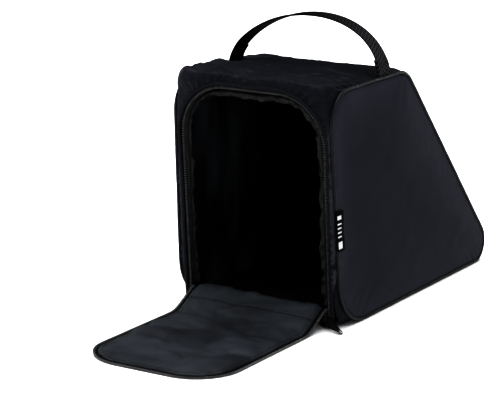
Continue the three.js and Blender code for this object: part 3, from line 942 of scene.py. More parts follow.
def make_side(side, name):
    """A padded side panel, dipping to its seam all round."""
    edge, _ = side_outline(SIDE_EDGE, 10)
    flat, faces, rim = triangulate(edge, 4 * MM)
    depth = TUCK * np.exp(-(rim / TUCK_WIDTH) ** 2)
    obj = mesh_object("side_" + name, side_point(side, flat, depth), faces, flat)
    face_towards(obj, (side, 0, 0))
    store_values(obj, rim=rim, y=flat[:, 0], z=flat[:, 1])
    simulate(obj, 0.0, 0.7, 8 * MM, bending=6.0)
    subdivide(obj)
    rim, y, z = values_of(obj, "rim", "y", "z")
    here = coordinates(obj)
    around = np.arctan2(z - SIDE_MIDDLE, y) * SIDE_REACH
    fade = ease(rim, 5 * MM)
    lumps = ripple(here, 90 * MM, 11 + side, 2) * 0.9 * MM + ripple(here, 22 * MM, 13) * 0.06 * MM
    slant = np.column_stack([(y + z) / (120 * MM), (y - z) / (30 * MM), np.zeros(len(y))])
    creases = np.clip(value_noise(slant, 15 + side), 0, 1) ** 2 * 0.25 * MM
    low = np.clip(1.2 - z / (90 * MM), 0.25, 1) + np.clip((y - 0.02) / (150 * MM), 0, 0.6)
    gathers = puckers(rim, around, 7 * MM, 7 * MM, 14 + side) * low * 0.45 * MM
    push(obj, (lumps + creases + gathers) * fade)
    # Painted highlight: the side's colour lightened in a band along its seams, in patches, as if lit
    # where the cloth curves down to the piping.
    patchy = 0.75 + 0.25 * ripple(here, 40 * MM, 17)
    store_values(obj, wear=np.clip(np.exp(-rim / (34 * MM)) * patchy, 0, 1))
    thicken(obj, PAD)
    return finish_piece(obj, SIDE_NYLON, "bag", "side_fabric",
                        "side_panel_" + name, "side_foam_" + name)


def loop_axes(side, out):
    """The directions across and outwards, at each place round a side."""
    across = np.tile([float(side), 0, 0], (len(out), 1))
    return across, np.column_stack([np.zeros(len(out)), out])


PIPING_RADIUS = 1.9 * MM
PIPING_WOBBLE = 0.25 * MM


def make_piping(side, name):
    """A covered cord along the seam round one side."""
    place, out, _ = dense_outline(PIPING_INSET, 2.2 * MM)
    wobble = ripple(np.column_stack([place, np.full(len(place), 0.1 * side)]), 25 * MM, 20 + side)
    centres = side_point(side, place + out * (wobble * PIPING_WOBBLE)[:, None], PIPING_INSET)
    section = ellipse(PIPING_RADIUS, PIPING_RADIUS, 12, 0.5)
    obj = sweep("piping_cord_" + name, centres, *loop_axes(side, out), section, True)
    return finish_piece(obj, PIPING, "bag", "piping", "piping_" + name)


BINDING_INSET = 7.4 * MM
BINDING_HALF = 1.6 * MM
BINDING_SIDES = 16


def make_binding(side, name):
    """A tape folded over the same seam, inside the bag."""
    place, out, along = dense_outline(BINDING_INSET, 3 * MM)
    circle = ellipse(1, 1, BINDING_SIDES, 0.5)
    box = np.sign(circle) * np.abs(circle) ** 0.5 * BINDING_HALF
    obj = sweep("inner_binding_" + name, side_point(side, place, BINDING_INSET),
                *loop_axes(side, out), box, True)
    gathers = puckers(np.zeros(len(obj.data.vertices)), np.repeat(along, BINDING_SIDES),
                      7 * MM, 1.0, 24)
    push(obj, gathers * 0.25 * MM)
    return finish_piece(obj, BINDING, "bag", "binding", "seam_binding_" + name)


# ------------------------------------------------------------ linings
LINING_CLOTH = 0.5 * MM


def make_side_lining(side, name):
    """The cloth inside a side panel."""
    edge, _ = side_outline(5 * MM, 10)
    flat, faces, rim = triangulate(edge, 7 * MM)
    obj = mesh_object("side_lining_cloth_" + name, side_point(side, flat, LINING_DEPTH), faces, flat)
    face_towards(obj, (-side, 0, 0))
    store_values(obj, rim=rim)
    subdivide(obj)
    here, rim = coordinates(obj), vertex_values(obj, "rim")
    fade = ease(rim, 8 * MM)
    push(obj, np.abs(ripple(here, 50 * MM, 31 + side)) * 3 * MM * fade)
    # Painted light: lit patches painted on the side lining; the linings of the top, back and floor
    # keep the darker colour.
    folds = ripple(here * (1, 1.6, 0.5), 36 * MM, 33, 2)
    store_values(obj, wear=np.clip(0.22 + 0.5 * folds, 0, 1))
    thicken(obj, LINING_CLOTH)
    return finish_piece(obj, LINING, "bag", "lining", "side_lining_" + name)


LINING_GAP = 5.4 * MM       # from the side's face to the edge of the wrap's lining


def make_wrap_lining(name, polygon, node, seed):
    """The cloth inside a piece of the wrap."""
    flat, faces, rim = triangulate(polygon, 7 * MM)
    u, q = flat[:, 0] / U_SCALE, flat[:, 1]
    obj = mesh_object(name, wrap_points(u, q, LINING_DEPTH, LINING_GAP), faces, flat)
    flip(face_outwards(obj, BAG_MIDDLE))
    store_values(obj, rim=rim)
    cut = cut_size(obj, coordinates(obj)[:, 0], q)
    subdivide(obj)
    here, rim = coordinates(obj), vertex_values(obj, "rim")
    push(obj, np.abs(ripple(here, 40 * MM, seed)) * 2.5 * MM * ease(rim, 8 * MM))
    thicken(obj, LINING_CLOTH)
    return finish_piece(obj, LINING, "bag", "lining", node)


def front_of_top(u):
    """Where the top's lining starts, a little past the start of the front's upper bend."""
    return mark("frontTop", u) + wrap_radius("frontTop", u) * 1.2


def make_linings():
    """The linings of the sides, the top, the back and the floor."""
    for side, name in SIDES:
        make_side_lining(side, name)
    for part, start, end, outer, seed in (
        ("top", front_of_top, TOP_SEAM, "wrap_front_and_top", 34),
        ("back", TOP_SEAM, LOW_SEAM, "wrap_back", 35),
        ("base", LOW_SEAM, partial(mark, "frontBottom"), "wrap_base", 36),
    ):
        polygon = np.concatenate([seam_line(start, -1, 1, 30), seam_line(end, 1, -1, 30)])
        make_wrap_lining("lining_" + part, polygon, part + "_lining", seed)


# ------------------------------------------------------------ the zip
def zip_route(edge, low, spacing):
    """Places along the U at a distance from the zip's line, with the ways along it and
    outwards there, and how far along it they are."""
    line = zip_outline(edge, low, 24)
    length = distances(line)
    at = np.linspace(0, length[-1], round(length[-1] / spacing) + 1)
    ahead = read_line(at + 0.5 * MM, length, line)
    behind = read_line(at - 0.5 * MM, length, line)
    along = unit_rows(ahead - behind)
    return read_line(at, length, line), along, np.column_stack([along[:, 1], -along[:, 0]]), at


FRONT_AXES = np.array([(1, 0, 0), (0, -math.sin(LEAN), math.cos(LEAN)),
                       (0, -math.cos(LEAN), -math.sin(LEAN))])   # across, up, out


def front_way(way):
    """A direction of the front's plane, (across, up), in space."""
    return way[0] * FRONT_AXES[0] + way[1] * FRONT_AXES[1]


def ring(width, height, thick, squash=0.72):
    """A box with its outer ring drawn in, as a moulded piece has: points and faces."""
    points = []
    for t, s in ((-1, squash), (-0.55, 1), (0.55, 1), (1, squash)):
        for a, b in ((-1, -1), (1, -1), (1, 1), (-1, 1)):
            points.append((a * width / 2 * s, b * height / 2 * s, t * thick / 2))
    faces = [(3, 2, 1, 0), (12, 13, 14, 15)]
    for k in range(3):
        for j in range(4):
            i = (j + 1) % 4
            faces.append((4 * k + j, 4 * k + i, 4 * k + 4 + i, 4 * k + 4 + j))
    return np.array(points), faces


def tooth_template(way):
    """One moulded tooth: a head over the zip's line and two legs gripping the tape."""
    head, faces = ring(1.3 * MM, 1.4 * MM, 2.6 * MM)
    legs, _ = ring(1.8 * MM, 0.8 * MM, 1.5 * MM, 0.85)
    points = np.concatenate([head + (1.5 * MM * way, 0, 0), legs + (2.7 * MM * way, 0, 0)])
    return points, repeated(faces, len(head), 2)


def flat_axes(out):
    """Rows: across the chain, along it, and out of the front, for each place."""
    return np.array([front_way(out), front_way((-out[1], out[0])), FRONT_AXES[2]])


def make_bag_teeth():
    """The bag's half of the zip's teeth."""
    place, _, out, _ = zip_route(0, ZIP_END + 1 * MM, PITCH)
    template, faces = tooth_template(1)
    places = [(front_points(x, up, MID_FACE), flat_axes(o)) for (x, up), o in zip(place, out)]
    vertices, made = copies(template, faces, places)
    obj = fresh_normals(mesh_object("zip_chain_bag", vertices, made, smooth=False))
    return finish_piece(obj, TEETH, "bag", "zip_teeth", "zip_teeth_bag")


TAPE = 0.6 * MM             # thickness


def make_bag_tape():
    """The bag's half of the zip's tape, from the teeth to under the cloth."""
    place, _, out, at = zip_route(0, ZIP_END, 2.5 * MM)
    rows, uv = [], []
    for k, (d, lift) in enumerate(((2.0, 0), (4.6, 0.1), (6.4, -0.1), (8.4, -0.25))):
        rows.append(front_points(*(place + out * (d * MM)).T, MID_FACE + lift * MM))
        uv.append(np.column_stack([at, np.full(len(at), k * 2.1 * MM)]))
    obj = face_towards(sheet_of_rows("zip_tape_cloth", rows, uv), FRONT_AXES[2])
    thicken(obj, TAPE)
    return finish_piece(obj, ZIP_TAPE, "bag", "zip_tape", "zip_tape_bag")


def make_welt():
    """The folded edge of the front's cloth, standing a little proud of the tape."""
    place, _, out, _ = zip_route(CLOTH_EDGE + 0.4 * MM, ZIP_END + 4 * MM, 2 * MM)
    points = np.column_stack([place, np.zeros(len(place))])
    lift = ripple(points, 16 * MM, 41) * 0.7 * MM
    shift = ripple(points, 22 * MM, 42) * 0.5 * MM
    centres = front_points(*(place + out * shift[:, None]).T, 0.1 * MM + lift)
    across = np.array([front_way(way) for way in out])
    outward = np.tile(FRONT_AXES[2], (len(out), 1))
    obj = sweep("zip_welt", centres, across, outward, ellipse(1.9, 1.15, 12) * MM, False)
    return finish_piece(obj, NYLON, "bag", "body_fabric")


def make_baffle():
    """The gathered strip behind the zip, seen along the inside of the opening."""
    place, _, out, at = zip_route(0, FLAP_HINGE + 2 * MM, 2.2 * MM)
    blank = np.zeros(len(place))
    wave = ripple(np.column_stack([at, blank, blank]), 11 * MM, 51)
    tight = 1 - 0.5 * np.clip(-out[:, 0], 0, 1)
    rows, uv = [], []
    for d in np.linspace(7.5, -12.5, 16) * MM:
        share = (7.5 * MM - d) / (20 * MM)
        crumple = ripple(np.column_stack([at, blank + d * 0.6, blank]), 7 * MM, 52, 2)
        inward = d if d > 0 else d * tight
        reach = inward + (share ** 2 * wave * 2.2 * MM + share ** 3 * 3 * MM) * tight
        dip = math.exp(-((d + 0.5 * MM) / (2.6 * MM)) ** 2) * 5 * MM * tight
        depth = -5.1 * MM - share ** 3 * 3 * MM - dip + share * crumple * 3.2 * MM
        rows.append(front_points(*(place + out * reach[:, None]).T, depth))
        uv.append(np.column_stack([at, blank + d]))
    obj = face_towards(sheet_of_rows("zip_baffle_cloth", rows, uv), FRONT_AXES[2])
    subdivide(obj)
    thicken(obj, LINING_CLOTH)
    return finish_piece(obj, BAFFLE, "bag", "lining", "zip_baffle")


STITCH = 2.6 * MM
STITCH_STEP = STITCH * 1.45


def stitches(name, places, material, body, slot_name, thickness=0.5 * MM):
    """A row of stitches: each place is (origin, rows along, across and out)."""
    template, faces = ring(STITCH, thickness, thickness)
    obj = fresh_normals(mesh_object(name, *copies(template, faces, places)))
    return finish_piece(obj, material, body, slot_name)


def stitch_front(cloth):
    """A row of stitches along the zip, set down on the finished cloth."""
    tree = BVHTree.FromPolygons(coordinates(cloth).tolist(),
                                [tuple(p.vertices) for p in cloth.data.polygons])
    place, ways, _, _ = zip_route(CLOTH_EDGE + 3.4 * MM, 32 * MM, STITCH_STEP)
    places = []
    for (x, up), way in zip(place, ways):
        above = Vector(front_points(x, up, 20 * MM))
        hit, normal, _, _ = tree.ray_cast(above, Vector(-FRONT_AXES[2]))
        if hit is None or np.array(normal) @ FRONT_AXES[2] < 0.3:
            continue
        out = np.array(normal)
        ahead = front_way(way)
        ahead = unit(ahead - out * (ahead @ out))
        places.append((np.array(hit), np.array([ahead, np.cross(out, ahead), out])))
    stitches("front_topstitch", places, THREAD, "bag", "body_fabric")


def stitch_flap():
    """A row of stitches round the flap's lining, near its edge."""
    template, faces = ring(STITCH, 0.5 * MM, 0.6 * MM)
    for part, low, high, bend in (("hinge", SILL_TOP + 4 * MM, FLAP_SEAM - 1 * MM, blend_at_hinge),
                                  ("flap", FLAP_SEAM + 1 * MM, math.inf, blend_at_fold)):
        place, ways, out, _ = zip_route(-CLOTH_EDGE - 4.4 * MM, low, STITCH_STEP)
        keep = place[:, 1] < high
        obj = flap_copies(part + "_topstitch", template, faces, place[keep], ways[keep],
                          out[keep], stitch_height)
        bend(obj)
        finish_piece(obj, THREAD, None, "lining")


def stitch_height(flat, rise):
    """How far out a stitch's points are, on the lining near its edge."""
    return flap_lining_face(flat, np.full(len(flat), 4 * MM)) - rise


# ------------------------------------------------------------ the flap
SLOPE = math.radians(28.147)    # of the strip that comes down from the sill to the floor
FLAP_SEAM = 44 * MM             # half way along that strip, where its two pieces meet
HINGE_BEND = 3.2 * MM
FOLD_BEND = 9 * MM


def flap_path():
    """The flap's bends when open, as (up, place of the corner, direction after it)."""
    hinge = front_points(0, FLAP_HINGE, MID_FACE)[1:]
    down = np.array([-math.cos(SLOPE), -math.sin(SLOPE)])
    return ((FLAP_HINGE, hinge, down, HINGE_BEND),
            (FLAP_FOLD, hinge + down * (FLAP_FOLD - FLAP_HINGE), np.array([-1.0, 0]), FOLD_BEND))


def flap_points(x, up, out):
    """Points of the open flap, given where they would be with it zipped shut."""
    x, up, out = np.broadcast_arrays(*(np.asarray(v, float) for v in (x, up, out)))
    before = np.array([-math.sin(LEAN), math.cos(LEAN)])
    corners = flap_path()
    place = corners[0][1] + (up[:, None] - FLAP_HINGE) * before
    way = np.tile(before, (len(up), 1))
    for corner_up, corner, after, reach in corners:
        past = up - corner_up
        beyond = past >= reach
        place[beyond] = corner + past[beyond, None] * after
        way[beyond] = after
        turning = np.abs(past) < reach
        t = ((past[turning] + reach) / (2 * reach))[:, None]
        a, b = corner - before * reach, corner + after * reach
        place[turning] = a * (1 - t) ** 2 + 2 * corner * t * (1 - t) + b * t ** 2
        way[turning] = unit_rows((corner - a) * (1 - t) + (b - corner) * t)
        before = after
    outward = np.column_stack([-way[:, 1], way[:, 0]])
    yz = place + outward * (out - MID_FACE)[:, None]
    return np.column_stack([x, yz])


def flap_copies(name, template, faces, place, first, second, height, smooth=True):
    """Copies of a template on the open flap: its x runs along first and its y along second,
    and height says how far out its points are, from (x, up) and the template's z."""
    vertices = []
    for spot, a, b in zip(place, first, second):
        flat = spot + template[:, :1] * a + template[:, 1:2] * b
        vertices.append(flap_points(*flat.T, height(flat, template[:, 2])))
    made = repeated(faces, len(template), len(place))
    return fresh_normals(mesh_object(name, np.concatenate(vertices), made, smooth=smooth))


def blend_at_hinge(obj):
    """Bakes a piece's placement into its mesh, for a piece between the sill and the strip's seam."""
    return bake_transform(obj)


def blend_at_fold(obj):
    """Bakes a piece's placement into its mesh, for a piece from the strip's seam out along the flap.
    """
    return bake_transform(obj)


def flap_outline(edge, low, high=None):
    """The flap's outline above a line, and below another where one is given."""
    if high is not None:
        half = ZIP_HALF - edge
        return np.array([(-half, low), (half, low), (half, high), (-half, high)])
    return zip_outline(-edge, low, 12)


def flap_sheet(name, edge, low, high, surface, spacing=3.4 * MM):
    """A sheet of the flap; surface gives how far out it is, from (x, up) and edge distance."""
    flat, faces, _ = triangulate(flap_outline(edge, low, high), spacing)
    rim = edge_distance(flap_outline(edge, -1.0), flat)
    out = surface(flat, rim)
    obj = mesh_object(name, flap_points(flat[:, 0], flat[:, 1], out), faces, flat)
    return obj, flat


def flap_cloth_face(flat, rim):
    """The outer face, slack between its edges and never below the floor when open."""
    points = np.column_stack([flat, np.zeros(len(flat))])
    slack = np.abs(ripple(points, 46 * MM, 61)) * 1.5 * MM
    gathers = np.abs(puckers(rim, flat.sum(1), 9 * MM, 9 * MM, 62)) * 0.7 * MM
    return -(slack + gathers) * ease(rim, 5 * MM) - 0.1 * MM


def flap_lining_face(flat, rim):
    """The inner face: crowned over the padding, wrinkled, drawn down at the edge."""
    points = np.column_stack([flat, np.zeros(len(flat))])
    crown = 2.6 * MM * (1 - np.exp(-rim / (11 * MM)))
    folds = np.abs(ripple(points * (0.6, 1, 1), 30 * MM, 63, 4)) * 5.5 * MM
    fine = ripple(points, 9 * MM, 64) * 0.45 * MM
    gathers = puckers(rim, flat.sum(1), 8 * MM, 10 * MM, 65) * 0.9 * MM
    fade = ease(rim, 7 * MM)
    return -2.4 * MM - crown - (folds + fine + gathers) * fade


def make_flap():
    """The flap's two parts, which meet half way along its sloping strip, each in cloth
    with a lining."""
    for part, low, high, bend in (("hinge", SILL_TOP + 0.4 * MM, FLAP_SEAM, blend_at_hinge),
                                  ("flap", FLAP_SEAM, None, blend_at_fold)):
        foam = ["flap_foam"] if part == "flap" else []
        for layer, face, edge, way, thick, material, slot_name, under, nodes in (
            ("cloth", flap_cloth_face, CLOTH_EDGE, DOWN, 0.9 * MM, NYLON, "body_fabric",
             "floor", [part + "_panel", *foam]),
            ("lining", flap_lining_face, CLOTH_EDGE + 0.4 * MM, UP, 0.5 * MM, LINING,
             "lining", part + "_cloth_sheet", [part + "_lining"]),
        ):
            obj, flat = flap_sheet(f"{part}_{layer}_sheet", edge, low, high, face)
            face_towards(obj, way)
            # Painted light: the flap's lining is lightened nearly all over, as if lit, while the
            # linings inside the bag stay darker.
            if layer == "lining":
                store_values(obj, wear=0.75 + 0.5 * ripple(coordinates(obj), 45 * MM, 66))
            thicken(obj, thick)
            bend(obj)
            finish_piece(obj, material, None, slot_name, *nodes)


def leg_places(low, high, spacing):
    """Each leg of the flap: its side's name, places between two heights, and ways outwards."""
    ups = np.arange(low, high, spacing)
    for side, name in SIDES:
        place = np.column_stack([np.full(len(ups), side * ZIP_HALF), ups])
        yield name, place, np.tile([float(side), 0], (len(ups), 1))


def tooth_height(flat, rise):
    """How far out a tooth's points are, which is the same all over the flap."""
    return MID_FACE + rise


def teeth_on_flap(name, place, out, bend, node):
    """Moulded teeth inside the zip's line, set down on the open flap."""
    along = np.column_stack([-out[:, 1], out[:, 0]])
    obj = flap_copies(name, *tooth_template(-1), place, out, along, tooth_height, smooth=False)
    bend(obj)
    return finish_piece(obj, TEETH, None, "zip_teeth", node)


def tape_on_flap(name, place, out, bend, *nodes):
    """Woven tape inside the zip's line, from the teeth to under the cloth."""
    at = distances(place)
    rows, uv = [], []
    for d, lift in ((-2.0, 0), (-4.4, 0.1), (-6.4, -0.1), (-8.4, -0.1)):
        height = np.full(len(at), MID_FACE + lift * MM)
        rows.append(flap_points(*(place + out * (d * MM)).T, height))
        uv.append(np.column_stack([at, np.full(len(at), d * MM)]))
    obj = face_towards(sheet_of_rows(name, rows, uv), UP)
    thicken(obj, TAPE)
    bend(obj)
    return finish_piece(obj, ZIP_TAPE, None, "zip_tape", *nodes)


def make_flap_zip():
    """The flap's half of the zip: round the U, and down both legs below the seam."""
    place, _, out, _ = zip_route(0, FLAP_SEAM, PITCH)
    teeth_on_flap("flap_chain", place[1:-1], out[1:-1], blend_at_fold, "flap_teeth")
    place, _, out, _ = zip_route(0, FLAP_SEAM, 2.4 * MM)
    tape_on_flap("flap_tape_cloth", place, out, blend_at_fold, "flap_tape")
    for name, place, out in leg_places(SLIDER_UP + 7 * MM, FLAP_SEAM, PITCH):
        teeth_on_flap("hinge_chain_" + name, place, out, blend_at_hinge, "hinge_teeth_" + name)
    for name, place, out in leg_places(ZIP_END, FLAP_SEAM + 0.1 * MM, 2.05 * MM):
        place[-1, 1] = FLAP_SEAM
        tape_on_flap("hinge_tape_cloth_" + name, place, out, blend_at_hinge,
                     "hinge_tape_" + name, "zip_tail_" + name)


# ------------------------------------------------------------ stops, slider and pull
def front_plate(outline, back, face, bevel):
    """A plate in the front's plane with eased edges: its points and faces."""
    outline = np.asarray(outline, float)
    middle = outline.mean(0)
    reach = np.abs(outline - middle).max()
    inner = middle + (outline - middle) * (1 - bevel / reach)
    layers = ((inner, back), (outline, back + bevel), (outline, face - bevel), (inner, face))
    points = np.concatenate([front_points(*edge.T, out) for edge, out in layers])
    n = len(outline)
    faces = [tuple(range(n))[::-1], tuple(range(3 * n, 4 * n))]
    for k in range(3):
        faces.extend((k * n + j, k * n + (j + 1) % n, (k + 1) * n + (j + 1) % n, (k + 1) * n + j)
                     for j in range(n))
    return points, faces


def rounded_rectangle(x0, x1, z0, z1, radius, steps=4):
    """A closed outline with a round at each corner."""
    points = []
    for (cx, cz), start in (((x1 - radius, z0 + radius), -90), ((x1 - radius, z1 - radius), 0),
                            ((x0 + radius, z1 - radius), 90), ((x0 + radius, z0 + radius), 180)):
        for k in range(steps + 1):
            turn = math.radians(start + 90 * k / steps)
            points.append((cx + radius * math.cos(turn), cz + radius * math.sin(turn)))
    return np.array(points)


def joined(name, parts, smooth=True):
    """One mesh of several (points, faces) shells."""
    points, faces, count = [], [], 0
    for shell, its_faces in parts:
        points.append(shell)
        faces.extend(tuple(v + count for v in f) for f in its_faces)
        count += len(shell)
    return fresh_normals(mesh_object(name, np.concatenate(points), faces, smooth=smooth))


def make_stops():
    """The blocks that end the zip's two legs."""
    for side, name in SIDES:
        x = side * ZIP_HALF
        block = rounded_rectangle(x - 3.8 * MM, x + 3.8 * MM, ZIP_END - 1.8 * MM,
                                  ZIP_END - 0.2 * MM, 0.6 * MM)
        obj = joined("end_stop_" + name, [front_plate(block, -2.9 * MM, -0.3 * MM, 0.35 * MM)])
        finish_piece(obj, METAL, "bag", "zip_metal", "zip_stop_" + name)


CROWN_UP = 13.8 * MM
BAIL_OUT = 3.2 * MM
BAR_UP = CROWN_UP - 4.1 * MM    # the bail's lower bar, which the ribbon goes round
SLIDER_HALF = 5.5 * MM      # half its width, and half its height


def slider_crown():
    """The arch on the slider's face that holds the pull's bail: points and faces."""
    arch = [(CROWN_UP + 3.4 * MM * math.cos(t), 1.2 * MM + 3.9 * MM * math.sin(t) ** 0.7)
            for t in np.linspace(0, math.pi, 13)]
    centres = np.array([front_points(ZIP_HALF, up, out) for up, out in arch])
    across = np.tile([1.0, 0, 0], (len(arch), 1))
    outward = unit_rows(np.cross(np.gradient(centres, axis=0), across))
    section = rounded_rectangle(-1.0 * MM, 1.0 * MM, -0.55 * MM, 0.55 * MM, 0.4 * MM, 2)
    crown = sweep("slider_body", centres, across, outward, section, False)
    shell = coordinates(crown), [tuple(p.vertices) for p in crown.data.polygons]
    bpy.data.objects.remove(crown)
    return shell


def make_slider():
    """Two plates with a divider between them and short rails down their sides."""
    low, high = SLIDER_UP - SLIDER_HALF, SLIDER_UP + SLIDER_HALF
    body = rounded_rectangle(-SLIDER_HALF, SLIDER_HALF, low, high, 2.4 * MM)
    narrow = 1 - 0.24 * np.clip((SLIDER_UP - body[:, 1]) / SLIDER_HALF, 0, 1)
    body[:, 0] = body[:, 0] * narrow + ZIP_HALF
    diamond = np.array([(0, -1), (0.24, 0), (0, 1), (-0.24, 0)]) * 2.4 * MM
    parts = [front_plate(body, 0.1 * MM, 1.3 * MM, 0.4 * MM),
             front_plate(body, -4.5 * MM, -3.3 * MM, 0.4 * MM),
             front_plate(diamond + (ZIP_HALF, high - 2.6 * MM), -3.4 * MM, 0.2 * MM, 0.1 * MM)]
    for side, _ in SIDES:
        x = ZIP_HALF + side * 4.75 * MM
        rail = rounded_rectangle(x - 0.6 * MM, x + 0.6 * MM, SLIDER_UP - 1.5 * MM, high - 1.2 * MM,
                                 0.5 * MM)
        parts.append(front_plate(rail, -0.9 * MM, 0.2 * MM, 0.2 * MM))
        parts.append(front_plate(rail, -3.4 * MM, -2.5 * MM, 0.2 * MM))
    obj = joined("slider_body", [*parts, slider_crown()])
    finish_piece(obj, METAL, "zip_slider", "zip_metal", "slider")


def make_bail():
    """The wire loop that hangs in the slider's crown."""
    line = rounded_rectangle(ZIP_HALF - 2.9 * MM, ZIP_HALF + 2.9 * MM, BAR_UP, CROWN_UP + 0.1 * MM,
                             1.4 * MM, 6)
    centres = front_points(*line.T, BAIL_OUT)
    ahead = unit_rows(np.roll(centres, -1, axis=0) - np.roll(centres, 1, axis=0))
    across = np.tile(FRONT_AXES[2], (len(centres), 1))
    obj = sweep("pull_wire", centres, across, np.cross(ahead, across), ellipse(0.6, 0.6, 10) * MM,
                True)
    finish_piece(obj, METAL, "zip_pull", "zip_metal", "pull_bail")


def bezier(points, steps):
    """Places along one cubic curve."""
    a, b, c, d = (np.asarray(p, float) for p in points)
    t = np.linspace(0, 1, steps)[:, None]
    return a * (1 - t) ** 3 + 3 * b * t * (1 - t) ** 2 + 3 * c * t ** 2 * (1 - t) + d * t ** 3


RIBBON_WIDTH = 10 * MM
RIBBON_TIP = 111.5 * MM     # how far to the right it ends


def make_ribbon():
    """A ribbon folded double through the bail, twisting as it comes down to the floor."""
    bar = front_points(ZIP_HALF, BAR_UP, BAIL_OUT)
    tip = np.array([RIBBON_TIP, bar[1] - 6.5 * MM, 2.2 * MM])
    line = bezier((bar, bar + np.array([5, -1.6, -1.0]) * MM,
                   tip + np.array([-5, 0.5, 4.5]) * MM, tip), 18)
    ahead = unit_rows(np.gradient(line, axis=0))
    share = np.linspace(0, 1, len(line))[:, None] ** 1.3
    wide = np.array([0.35, 0, 1.0]) * (1 - share) + np.array([0.45, -0.9, 0.14]) * share
    wide = unit_rows(wide - ahead * (wide * ahead).sum(1)[:, None])
    face = np.cross(ahead, wide)
    if face[0, 1] > 0:
        face = -face
    gap = np.sin(np.linspace(0, math.pi, len(line)) * 0.85)[:, None] * 0.7 * MM + 0.42 * MM
    loop = np.concatenate([(line + face * gap)[::-1], (line - face * gap)[1:]])
    widths = np.concatenate([wide[::-1], wide[1:]])
    faces = unit_rows(np.cross(np.gradient(loop, axis=0), widths))
    section = rounded_rectangle(-RIBBON_WIDTH / 2, RIBBON_WIDTH / 2, -0.3 * MM, 0.3 * MM,
                                0.25 * MM, 2)
    obj = subdivide(sweep("pull_tape", loop, widths, faces, section, False))
    finish_piece(obj, BINDING, "zip_pull", "ribbon", "pull_ribbon")


# ------------------------------------------------------------ handle
HANDLE_Y = -87 * MM
HANDLE_HALF = 97.5 * MM
HANDLE_RISE = 61 * MM
HANDLE_SLANT = 8 * MM       # how far its top lies over to the right
HANDLE_PIVOT = 21.2 * MM
HANDLE_LEAN = math.radians(6.5)
STRAP_WIDTH = 25 * MM
STRAP_THICK = 2.1 * MM
STRAP_TILT = math.radians(6)    # how far its top is turned to the front


def handle_line(inset, foot, steps=90):
    """The handle's centreline from foot to foot, in (x, height above the sides' top)."""
    half, rise = HANDLE_HALF - inset, HANDLE_RISE - inset
    x = -half * np.cos(math.pi * np.arange(steps + 1) / steps)
    z = rise * np.maximum(0, 1 - np.abs(x / half) ** 2.05) ** 0.6
    line = np.column_stack([x + HANDLE_SLANT * z / HANDLE_RISE, z])
    line = line[z > foot + 1 * MM]
    return np.concatenate([[(-half, foot)], line, [(half, foot)]])


def leaned(points):
    """Lays the handle back about the line that it swings on, easing in above the top."""
    rise = points[:, 2] - HEIGHT
    share = np.clip(rise / HANDLE_PIVOT, 0, 1)
    turn = HANDLE_LEAN * share * share * (3 - 2 * share)
    y = points[:, 1] - HANDLE_Y
    z = rise - HANDLE_PIVOT
    leant = points.copy()
    leant[:, 1] = HANDLE_Y + y * np.cos(turn) + z * np.sin(turn)
    leant[:, 2] = HEIGHT + HANDLE_PIVOT - y * np.sin(turn) + z * np.cos(turn)
    low = share < 1
    leant[low, 1] = points[low, 1]
    leant[low, 2] = points[low, 2] - (y * np.sin(turn))[low] * share[low]
    return leant


STRAP_SECTION = np.array([       # places across and heights, as shares of a half
    (-1, 0.35), (-0.97, 0.85), (-0.88, 1.0), (-0.5, 0.9), (0, 0.88),
    (0.5, 0.9), (0.88, 1.0), (0.97, 0.85), (1, 0.35)])


def strap(name, line, thick):
    """Webbing along a line in (x, height), laid back with the handle. Inside the loop on the right
    it carries a painted highlight as if lit; the rest keeps near its darkest colour."""
    count = len(line)
    centres = np.column_stack([line[:, 0], np.full(count, HANDLE_Y), line[:, 1] + HEIGHT])
    ahead = unit_rows(np.gradient(centres, axis=0))
    tilt = STRAP_TILT * np.clip(line[:, 1] / HANDLE_RISE, 0, 1) ** 3
    across = np.column_stack([np.zeros(count), np.cos(tilt), np.sin(tilt)])
    upper = STRAP_SECTION * (STRAP_WIDTH / 2, 1) * (1, thick) / (1, 2)
    section = np.concatenate([upper, upper[::-1] * (1, -1)])
    obj = sweep(name, centres, across, np.cross(across, ahead), section, False)
    # Painted highlight on the inner face of the right leg, growing towards its foot; the rest stays
    # near dark.
    right = np.clip(line[:, 0] / HANDLE_HALF, 0, 1)[:, None]
    store_values(obj, wear=(0.08 + right * (section[:, 1] < 0)).ravel())
    return lean_and_blend(obj)


def lean_and_blend(obj):
    """Lays a piece of the handle back and lets it follow the handle from its feet up."""
    set_coordinates(obj, leaned(coordinates(obj)))
    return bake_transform(obj)


def box_stitch_lines(low, high, half):
    """A sewn box with a cross in it, as lines of (across, height)."""
    a, b, c, d = (-half, low), (half, low), (half, high), (-half, high)
    return [(a, b), (b, c), (c, d), (d, a), (a, c), (b, d)]


HANDLE_FOOT = -3 * MM           # how far its ends go below the sides' top


def box_stitches(side, line):
    """Places for a box of stitches on one leg of the handle, before it is laid back."""
    leg = line[line[:, 0] * side > 0]
    leg = leg[np.argsort(leg[:, 1])]
    out = np.array([float(side), 0, 0])
    places = []
    for (y0, z0), (y1, z1) in box_stitch_lines(2 * MM, 15 * MM, 9.5 * MM):
        count = max(2, round(math.hypot(y1 - y0, z1 - z0) / STITCH))
        along = unit(np.array([0, y1 - y0, z1 - z0]))
        axes = np.array([along, np.cross(out, along), out])
        for k in range(count):
            t = (k + 0.5) / count
            y, z = y0 + (y1 - y0) * t, z0 + (z1 - z0) * t
            x = np.interp(z, leg[:, 1], leg[:, 0]) + side * STRAP_THICK * 0.47
            places.append((np.array([x, HANDLE_Y + y, HEIGHT + z]), axes))
    return places


